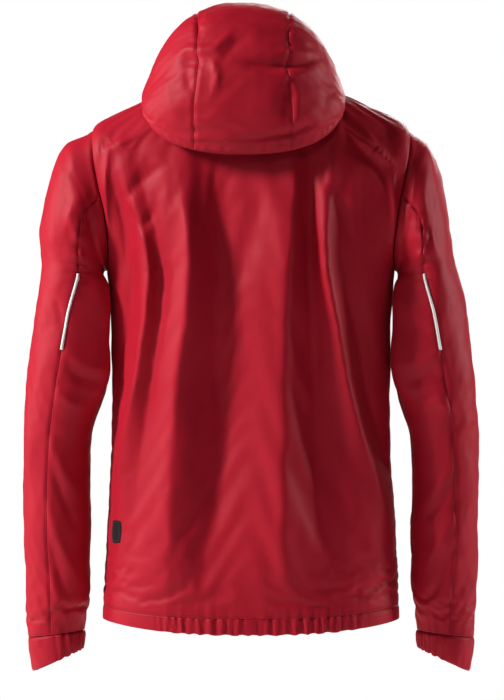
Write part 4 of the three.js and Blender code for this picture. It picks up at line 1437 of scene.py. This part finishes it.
class JACKET_OT_hood(bpy.types.Operator):
    """Hood: two side panels, the middle panel, its peak, rim and underside"""

    bl_idname = "jacket.hood"
    bl_label = "Hood"

    def execute(self, context):
        end = HOOD_EAR

        def far_seam(t):
            return math.pi - hood_seam(t)

        parts = (
            ("hood_side_cloth_left", lambda t: 0 * t + end, hood_seam, "hood_side_left", "rbt"),
            ("hood_middle_cloth", hood_seam, far_seam, "hood_middle_panel", "lrbt"),
            ("hood_side_cloth_right", far_seam, lambda t: math.pi - end + 0 * t, "hood_side_right", "lbt"),
        )
        for name, start, stop, node, seams in parts:

            def place(u, v):
                return hood_point(v, start(v) + (stop(v) - start(v)) * u)

            panel = cloth_piece(
                name,
                graded(140, 3),
                graded(330, 3.4),
                place,
                laminate(),
                seams=seams,
                pucker=0.7,
            )
            sewn(panel, "hood", [node])
        self.underside()
        self.peak()
        self.rim()
        return {"FINISHED"}

    def underside(self):
        """From the neck seam out to the hood's lower edge, in three parts."""
        reach_rear, reach_front = SIDE_Y + 14, zip_line(-60) - SIDE_Y
        # Each part's ends, as shares of the way round, and where it starts and stops following the hood.
        parts = (
            ("rear", 0.33, -0.33, (0, 0, 0), (0, 0, -0.045)),
            ("right", 0.985, 0.33, (0.074, 0, 0), (0.113, 0, 0)),
            ("left", -0.33, -0.985, (-0.083, 0, 0), (-0.135, 0, 0)),
        )
        for name, first, last, start, end in parts:

            def place(u, v):
                k = first + (last - first) * u
                inside = np.abs(k) <= 0.5
                t = np.where(inside, 0, (np.abs(k) - 0.5) * 2)
                edge = hood_point(t, np.where(inside, math.pi * (0.5 + k), np.where(k > 0, math.pi, 0)))
                forward = edge[..., 1] - SIDE_Y
                reach = np.where(forward < 0, reach_rear, reach_front)
                angle = np.arctan2(edge[..., 0] / NECK_RING[0], -forward / reach)
                out = np.stack([np.sin(angle), -np.cos(angle), 0 * angle], -1)
                root = body_form(angle % (2 * math.pi), NECK_S + 0 * angle) + out * 2.5
                root[..., 2] += 3
                edge = edge - out * 2.4
                points = root + (edge - root) * v[..., None]
                full = (1 - smooth(forward, -20, 50)) * np.sin(math.pi * v)
                crumple = 1.6 * waves(points[..., 0] * 2, points[..., 1] * 2, 14, (30, 80))
                points[..., 2] += (6 + crumple) * full
                return points

            wide = 240 if name == "rear" else 190
            piece = cloth_piece(
                "hood_underside_cloth_" + name,
                graded(wide, 3.5, low=False, high=False),
                graded(85, 4),
                place,
                laminate(),
                seams="bt",
                dip=0.5,
            )
            sewn(piece, "torso", ["hood_gusset"], blend=("torso", "hood", start, end))

    def peak(self):
        """The peak, deepest at its middle and folded over along its edge."""
        seam = float(hood_seam(np.array([1.0]))[0])
        low = seam - 0.25 * (seam - HOOD_EAR)
        depth = 2.6

        def place(u, v):
            across = low + (math.pi - 2 * low) * u
            rim = hood_point(np.ones_like(across), across)
            run = rim - hood_point(0.94 * np.ones_like(across), across)
            run /= np.linalg.norm(run, axis=-1, keepdims=True)
            length = 5 + 20 * np.sin(math.pi * u) ** 0.7
            deep, high = fold_path(v, length, depth)
            side = rim - hood_point(np.ones_like(across), np.clip(across - 0.02, 0, math.pi))
            normal = unit(np.cross(side, run))
            return rim + run * (length - high)[..., None] + normal * (0.6 - deep)[..., None]

        piece = cloth_piece(
            "hood_peak_cloth",
            even(90),
            fold_rows(25, depth, 2.5),
            lambda u, v: place(u, 1 - v),
            laminate(),
            seams="bt",
            dip=0.5,
        )
        sewn(piece, "hood", ["hood_peak"])

    def rim(self):
        """The casing round the face and the elastic inside it."""
        for label, width, depth, material, node, slot in (
            ("hood_rim_cloth", 16, 6.4, shell(), "hood_rim_casing", "shell"),
            ("hood_rim_elastic_cloth", 12, 4.4, webbing(), "hood_rim_elastic", "trim"),
        ):

            def place(u, v):
                return hood_point(0.99 - width / 330 * (1 - v), (0.13 + 0.74 * u) * math.pi)

            strip = cloth_piece(label, even(150), even(8), place, (material,), seams="", depth=depth)
            sewn(strip, "hood", [node])


PATCH_TURN = math.radians(-66)
PATCH_HALF_WIDTH, PATCH_HALF_HEIGHT = 15.5, 18.5


class JACKET_OT_neck(bpy.types.Operator):
    """Collar, hang loop and the plain patch low on the back"""

    bl_idname = "jacket.neck"
    bl_label = "Collar, loop and patch"

    def execute(self, context):
        depth, tall = 3.2, 41.0
        edge = float(front_angle(FRONT_EDGE + 0.5, 5.0))

        def stand(angle):
            return 42 + 21 * np.sin(angle) ** 2

        def form(angle, high):
            low = body_form(angle % (2 * math.pi), NECK_S + 0 * angle)
            top = flatwise(lambda a: ring(a, *COLLAR_TOP), angle)
            share = 1 - high / stand(angle)
            return low + (top - low) * share[..., None]

        def collar(u, v):
            angle = edge * (2 * u - 1)
            deep, high = fold_path(v, tall, depth)
            share = high / tall
            points = form(angle, share * stand(angle))
            step = form(angle + 1e-3, 10 + 0 * angle) - form(angle - 1e-3, 10 + 0 * angle)
            up = form(angle, 5 + 0 * angle) - form(angle, 10 + 0 * angle)
            normal = unit(np.cross(step, up))
            soft = 0.8 * waves(angle * 78, high, 51, (24, 60)) * np.sin(math.pi * share) ** 0.5
            return points + normal * (soft - deep)[..., None]

        piece = cloth_piece(
            "collar_cloth",
            even(200),
            fold_rows(tall, depth, 3.5),
            lambda u, v: collar(u, 1 - v),
            laminate(),
            seams="bt",
            dip=0.8,
        )
        sewn(piece, "torso", ["collar"])
        self.loop()
        self.patch()
        return {"FINISHED"}

    def loop(self):
        """A woven strap up from the neck seam, across and down, its underside level with the origin."""
        half, drop, strap, corner = 28.2, 14.6, 1.5, 3.0

        def place(u, v):
            straight, arc = drop - corner, math.pi / 2 * corner
            span = 2 * (half - corner)
            run = u * (2 * straight + 2 * arc + span)
            first = np.clip((run - straight) / corner, 0, math.pi / 2)
            second = np.clip((run - straight - arc - span) / corner, 0, math.pi / 2)
            x = -half + corner * (1 - np.cos(first))
            x = x + np.clip(run - straight - arc, 0, span) + corner * np.sin(second)
            z = strap - drop + np.minimum(run, straight) + corner * np.sin(first)
            z = z - corner * (1 - np.cos(second)) - np.maximum(run - straight - 2 * arc - span, 0)
            return np.stack([x, 4 - 8 * v, z], -1)

        piece = cloth_piece(
            "hang_loop_strap",
            even(90),
            even(7),
            lambda u, v: place(u, 1 - v),
            (webbing(),),
            seams="bt",
            dip=0.15,
            thickness=strap,
        )
        sewn(piece, "torso", ["hang_loop"])

    def patch(self):
        """A plain woven patch with rounded sides."""

        def place(u, v):
            a, b = 2 * u - 1, 2 * v - 1
            wide, tall = a * np.sqrt(1 - 0.16 * b * b), b * np.sqrt(1 - 0.16 * a * a)
            angle = PATCH_TURN + PATCH_HALF_WIDTH / MM_PER_STEP * wide
            points = body_point(angle % (2 * math.pi), 1 + PATCH_HALF_HEIGHT / MM_PER_STEP * tall)
            return points + normals_of(points) * 1.3

        piece = cloth_piece(
            "back_patch_cloth",
            graded(32, 2.5),
            graded(38, 2.5),
            place,
            (webbing(),),
            dip=0.5,
            thickness=0.8,
        )
        sewn(piece, "torso", ["back_patch"])


# ---------- zips ----------
ZIP_TOP = 23
ZIP_LEAN = math.atan(ZIP_SLOPE)
ZIP_LENGTH = (ZIP_TOP - (HEM_Z + 20)) / math.cos(ZIP_LEAN)
TEETH_INNER, TEETH_WIDTH, TEETH_THICK, TEETH_PITCH = 0.6, 2.7, 2.4, 3.0
TOOTH_LAP = 0.2
TAPE_START = TEETH_INNER + TEETH_WIDTH - TOOTH_LAP
TAPE_WIDTH, FRONT_TAPE, POCKET_TAPE = 10, 3, 6
POCKET_LENGTH = 150
SLOT_WIDTH, SLOT_DEPTH, SLOT_SPARE = 11.4, 24, 4


class Place:
    """A zip's own axes: across it, out of the jacket and up it, from its top."""

    def __init__(self, origin, across, out, up):
        axes = (np.asarray(a, float) for a in (origin, across, out, up))
        self.origin, self.across, self.out, self.up = axes

    def at(self, x, y, z):
        x, y, z = (np.asarray(a, float)[..., None] for a in np.broadcast_arrays(x, y, z))
        return self.origin + x * self.across + y * self.out + z * self.up

    def mirrored(self):
        flip = np.array([-1, 1, 1])
        return Place(self.origin * flip, self.across * flip, self.out * flip, self.up * flip)


def front_zip_place():
    lean, rise = math.sin(ZIP_LEAN), math.cos(ZIP_LEAN)
    return Place((0, zip_line(ZIP_TOP), ZIP_TOP), (1, 0, 0), (0, rise, lean), (0, -lean, rise))


@lru_cache(None)
def pocket_place():
    """The hand pocket's zip on the wearer's right."""
    low = body_form(front_angle(152.0, 1.1), 1.1)
    high = body_form(front_angle(124.0, 2.0), 2.0)
    up = (high - low) / np.linalg.norm(high - low)
    level = 1.55
    middle = float(front_angle(138.0, level))
    out = body_normal(middle, level, 1e-4)
    out = out - up * (out @ up)
    out /= np.linalg.norm(out)
    return Place(body_form(middle, level) + up * POCKET_LENGTH / 2, np.cross(out, up), out, up)


def strip_on(
    place,
    name,
    low,
    high,
    depth,
    length,
    material,
    nodes,
    columns=6,
    bulge=0.0,
    thickness=0.8,
):
    """A straight strip of tape or cloth laid in a zip's axes between two distances across it."""
    flip = np.linalg.det(np.stack([place.across, place.out, place.up])) < 0
    first, last = (low, high) if flip else (high, low)

    def points(u, v):
        x = first + (last - first) * u
        y = -depth + bulge * np.sin(math.pi * u) + 0 * v
        return place.at(x, y, -length * (1 - v))

    rows = even(max(8, round(length / 6)))
    piece = cloth_piece(
        name,
        even(columns),
        rows,
        points,
        (material,),
        seams="lr",
        dip=0.15,
        thickness=thickness,
    )
    return sewn(piece, "torso", nodes)


def tooth_row(place, name, node, depth, length, start, sides):
    """Moulded teeth, each a small bevelled block with a nose that reaches between its two neighbours."""
    bm = bmesh.new()
    count = int((length - 2 * start) / TEETH_PITCH)
    for side in sides:
        for i in range(count):
            made = bmesh.ops.create_cube(bm, size=1)["verts"]
            for v in made:
                nose = 0.75 if v.co.x * side < 0 else 1.0
                wide, deep = v.co.x * TEETH_WIDTH * 1.15, v.co.y * TEETH_THICK * 0.9
                v.co = Vector((wide, deep, v.co.z * 1.9 * nose))
            drop = -start - TEETH_PITCH * (i + (0.25 if side > 0 else 0.75))
            aside = side * (TEETH_INNER + TEETH_WIDTH / 2 - TOOTH_LAP)
            bmesh.ops.translate(bm, verts=made, vec=(aside, -depth, drop))
    edges = bm.edges[:]
    bmesh.ops.bevel(bm, geom=edges, offset=0.22, affect="EDGES", segments=1, profile=0.5, material=-1)
    for v in bm.verts:
        v.co = Vector(place.at(*v.co)) / 1000
    face_out(bm)
    mesh = bpy.data.meshes.new(name)
    bm.to_mesh(mesh)
    bm.free()
    piece = link(name, mesh, moulded())
    mesh.polygons.foreach_set("use_smooth", [False] * len(mesh.polygons))
    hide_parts(node)
    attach(piece, "torso")
    return piece


class JACKET_OT_front_zip(bpy.types.Operator):
    """Front zip: tapes, teeth, wind flap and chin guard"""

    bl_idname = "jacket.front_zip"
    bl_label = "Front zip"

    def execute(self, context):
        middle = front_zip_place()
        for side, sign in (("right", 1), ("left", -1)):
            strip_on(
                middle if sign > 0 else middle.mirrored(),
                "front_tape_" + side,
                TAPE_START,
                TAPE_START + TAPE_WIDTH,
                FRONT_TAPE,
                ZIP_LENGTH,
                webbing(),
                ["front_zip_tape_" + side],
            )
            node = "front_zip_teeth_" + side
            tooth_row(middle, "front_teeth_" + side, node, FRONT_TAPE, ZIP_LENGTH, 0.5, (sign,))
        strip_on(
            middle,
            "wind_flap_cloth",
            -25.3,
            12.7,
            8.4,
            ZIP_LENGTH - 6,
            shell(),
            ["wind_flap"],
            columns=14,
            bulge=0.8,
            thickness=1.2,
        )

        def guard(u, v):
            run = v * 34
            back, over = 24.0, 8.0
            y = -8.3 + np.clip(run - back, 0, over)
            top = 5 + 0.8 * np.sin((run - back) / over * math.pi)
            z = np.where(run < back + over, top, 5 - (run - back - over))
            z = np.where(run < back, -19 + run, z)
            return middle.at(5 - 10 * u, y, z)

        piece = cloth_piece(
            "chin_guard_cloth",
            even(8),
            even(40),
            guard,
            (fleece(),),
            seams="lr",
            dip=0.3,
            thickness=1.2,
        )
        sewn(piece, "torso", ["chin_guard"])
        return {"FINISHED"}


class JACKET_OT_pockets(bpy.types.Operator):
    """Hand pockets: welts, tapes, teeth and bags"""

    bl_idname = "jacket.pockets"
    bl_label = "Hand pockets"

    def execute(self, context):
        for side, sign in (("right", 1), ("left", -1)):
            place = pocket_place() if sign > 0 else pocket_place().mirrored()
            turned = Place(place.origin, -place.across, place.out, place.up)
            for which, axes in (("inner", place), ("outer", turned)):
                strip_on(
                    axes,
                    "pocket_tape_" + which + "_" + side,
                    TAPE_START,
                    TAPE_START + TAPE_WIDTH - 2,
                    POCKET_TAPE,
                    POCKET_LENGTH,
                    webbing(),
                    ["pocket_zip_tape_" + side],
                )
                welt = strip_on(
                    axes,
                    "pocket_welt_" + which + "_" + side,
                    5.2,
                    11.5,
                    -1.0,
                    POCKET_LENGTH + 8,
                    shell(),
                    ["front_panel_" + side],
                    columns=9,
                    bulge=1.0,
                    thickness=1.0,
                )
                lift = Vector(place.up * 4 / 1000)
                for v in welt.data.vertices:
                    v.co += lift
            node = "pocket_zip_teeth_" + side
            tooth_row(place, "pocket_teeth_" + side, node, POCKET_TAPE, POCKET_LENGTH, 3, (1, -1))
            point = body_on_side(side)

            def bag(u, v):
                s = 0.55 + 1.75 * v
                start = math.radians(104)
                return point(start + (front_angle(50.0 + 0 * s, s) - start) * u, s)

            piece = cloth_piece(
                "pocket_bag_cloth_" + side,
                graded(150, 8),
                graded(290, 8),
                bag,
                (fleece(),),
                depth=12.5,
                mirror=sign < 0,
            )
            sewn(piece, "torso", ["pocket_bag_" + side])
        return {"FINISHED"}


class JACKET_OT_trims(bpy.types.Operator):
    """Sliders, pulls, stops and cord locks: the frame's own pieces, with their finish"""

    bl_idname = "jacket.trims"
    bl_label = "Sliders and locks"

    def execute(self, context):
        for name, node in NODES.items():
            if node.hide_render:
                continue
            metal = "slider" in name or "stop" in name
            node.data.materials.clear()
            node.data.materials.append(plated() if metal else moulded())
        return {"FINISHED"}


# ---------- stage, in metres ----------
FLOOR_Z, FLOOR_RADIUS = -1.35, 6.1
ROOM_LIGHT = 0.02
FLOOR_GLOW = 0.6
SENSOR_HEIGHT = 24
CAMERA_DISTANCE, VIEW_HEIGHT = 6.0, 0.98
VIEW_X, VIEW_Y, VIEW_Z = 0.0014, 0.03, -0.35
# Each lamp: its place, the height it is aimed at, its width and height, and its power in watts.
LAMPS = (
    ("key", (-3.0, -1.15, 1.5), -0.35, 0.5, 0.9, 158),
    ("fill", (-0.9, -3.2, 1.4), -0.35, 0.9, 0.9, 10),
    ("left", (-3.0, 0.6, 0.2), -0.35, 0.6, 1.5, 38),
    ("right", (3.1, 0.6, 0.4), -0.35, 0.6, 1.5, 62),
    ("front", (0.9, 3.4, 1.2), -0.3, 1.6, 1.6, 110),
)


class JACKET_OT_stage(bpy.types.Operator):
    """Floor, soft lights and the camera"""

    bl_idname = "jacket.stage"
    bl_label = "Stage"

    def execute(self, context):
        self.floor()
        self.lamps(context.scene)
        self.room(context.scene)
        self.camera(context.scene)
        return {"FINISHED"}

    def floor(self):
        bm = bmesh.new()
        bmesh.ops.create_circle(bm, cap_ends=True, segments=96, radius=FLOOR_RADIUS)
        bmesh.ops.translate(bm, verts=bm.verts, vec=(0, 0, FLOOR_Z))
        mesh = bpy.data.meshes.new("floor")
        bm.to_mesh(mesh)
        bm.free()
        paper = bpy.data.materials.new("floor_paper")
        paper.use_nodes = True
        shader = paper.node_tree.nodes["Principled BSDF"]
        shader.inputs["Base Color"].default_value = (*looks().backdrop, 1)
        shader.inputs["Roughness"].default_value = 0.9
        shader.inputs["Emission Color"].default_value = (1, 1, 1, 1)
        direct = add(paper.node_tree, "ShaderNodeLightPath")
        glow = math_node(paper.node_tree, "MULTIPLY", direct.outputs["Is Camera Ray"], FLOOR_GLOW)
        join(paper.node_tree, (glow, shader.inputs["Emission Strength"]))
        link("floor", mesh, paper)

    def lamps(self, scene):
        for name, place, aim, width, height, power in LAMPS:
            light = bpy.data.lights.new(name, "AREA")
            light.shape = "RECTANGLE"
            light.size, light.size_y = width, height
            light.energy = power
            obj = bpy.data.objects.new(name, light)
            scene.collection.objects.link(obj)
            obj.location = place
            way = Vector((0, 0, aim)) - Vector(place)
            obj.rotation_euler = way.to_track_quat("-Z", "Y").to_euler()

    def room(self, scene):
        """A dim room that the camera sees as plain white."""
        scene.world = bpy.data.worlds.new("studio")
        scene.world.use_nodes = True
        tree = scene.world.node_tree
        seen = add(tree, "ShaderNodeLightPath")
        camera_ray = seen.outputs["Is Camera Ray"]
        level = math_node(tree, "MULTIPLY_ADD", camera_ray, 1 - ROOM_LIGHT, ROOM_LIGHT)
        background = tree.nodes["Background"]
        background.inputs[0].default_value = (1, 1, 1, 1)
        join(tree, (level, background.inputs[1]))
        scene.view_settings.view_transform = "Standard"

    def camera(self, scene):
        camera = bpy.data.cameras.new("camera")
        camera.sensor_fit = "VERTICAL"
        camera.sensor_height = SENSOR_HEIGHT
        camera.lens = SENSOR_HEIGHT * CAMERA_DISTANCE / VIEW_HEIGHT
        obj = bpy.data.objects.new("camera", camera)
        scene.collection.objects.link(obj)
        obj.location = (VIEW_X, VIEW_Y - CAMERA_DISTANCE, VIEW_Z)
        obj.rotation_euler = (math.pi / 2, 0, 0)
        scene.camera = obj


class JACKET_PT_panel(bpy.types.Panel):
    """The jacket's pieces, in making order"""

    bl_idname = "JACKET_PT_panel"
    bl_label = "Jacket"
    bl_space_type = "VIEW_3D"
    bl_region_type = "UI"
    bl_category = "Jacket"

    def draw(self, context):
        for group in (context.scene.jacket_sizes, context.scene.jacket_looks):
            for key in group.__annotations__:
                self.layout.prop(group, key)
        for operator in OPERATORS:
            self.layout.operator(operator.bl_idname)


OPERATORS = (
    JACKET_OT_stage,
    JACKET_OT_body,
    JACKET_OT_hem,
    JACKET_OT_sleeves,
    JACKET_OT_hood,
    JACKET_OT_neck,
    JACKET_OT_front_zip,
    JACKET_OT_pockets,
    JACKET_OT_trims,
)
CLASSES = (JacketSizes, JacketLooks, *OPERATORS, JACKET_PT_panel)


def register():
    for cls in CLASSES:
        bpy.utils.register_class(cls)
    bpy.types.Scene.jacket_sizes = PointerProperty(type=JacketSizes)
    bpy.types.Scene.jacket_looks = PointerProperty(type=JacketLooks)


def unregister():
    del bpy.types.Scene.jacket_looks
    del bpy.types.Scene.jacket_sizes
    for cls in reversed(CLASSES):
        bpy.utils.unregister_class(cls)


def main():
    register()
    bpy.ops.jacket.stage()
    bpy.ops.jacket.body()
    bpy.ops.jacket.hem()
    bpy.ops.jacket.sleeves()
    bpy.ops.jacket.hood()
    bpy.ops.jacket.neck()
    bpy.ops.jacket.front_zip()
    bpy.ops.jacket.pockets()
    bpy.ops.jacket.trims()


if __name__ == "__main__":
    main()
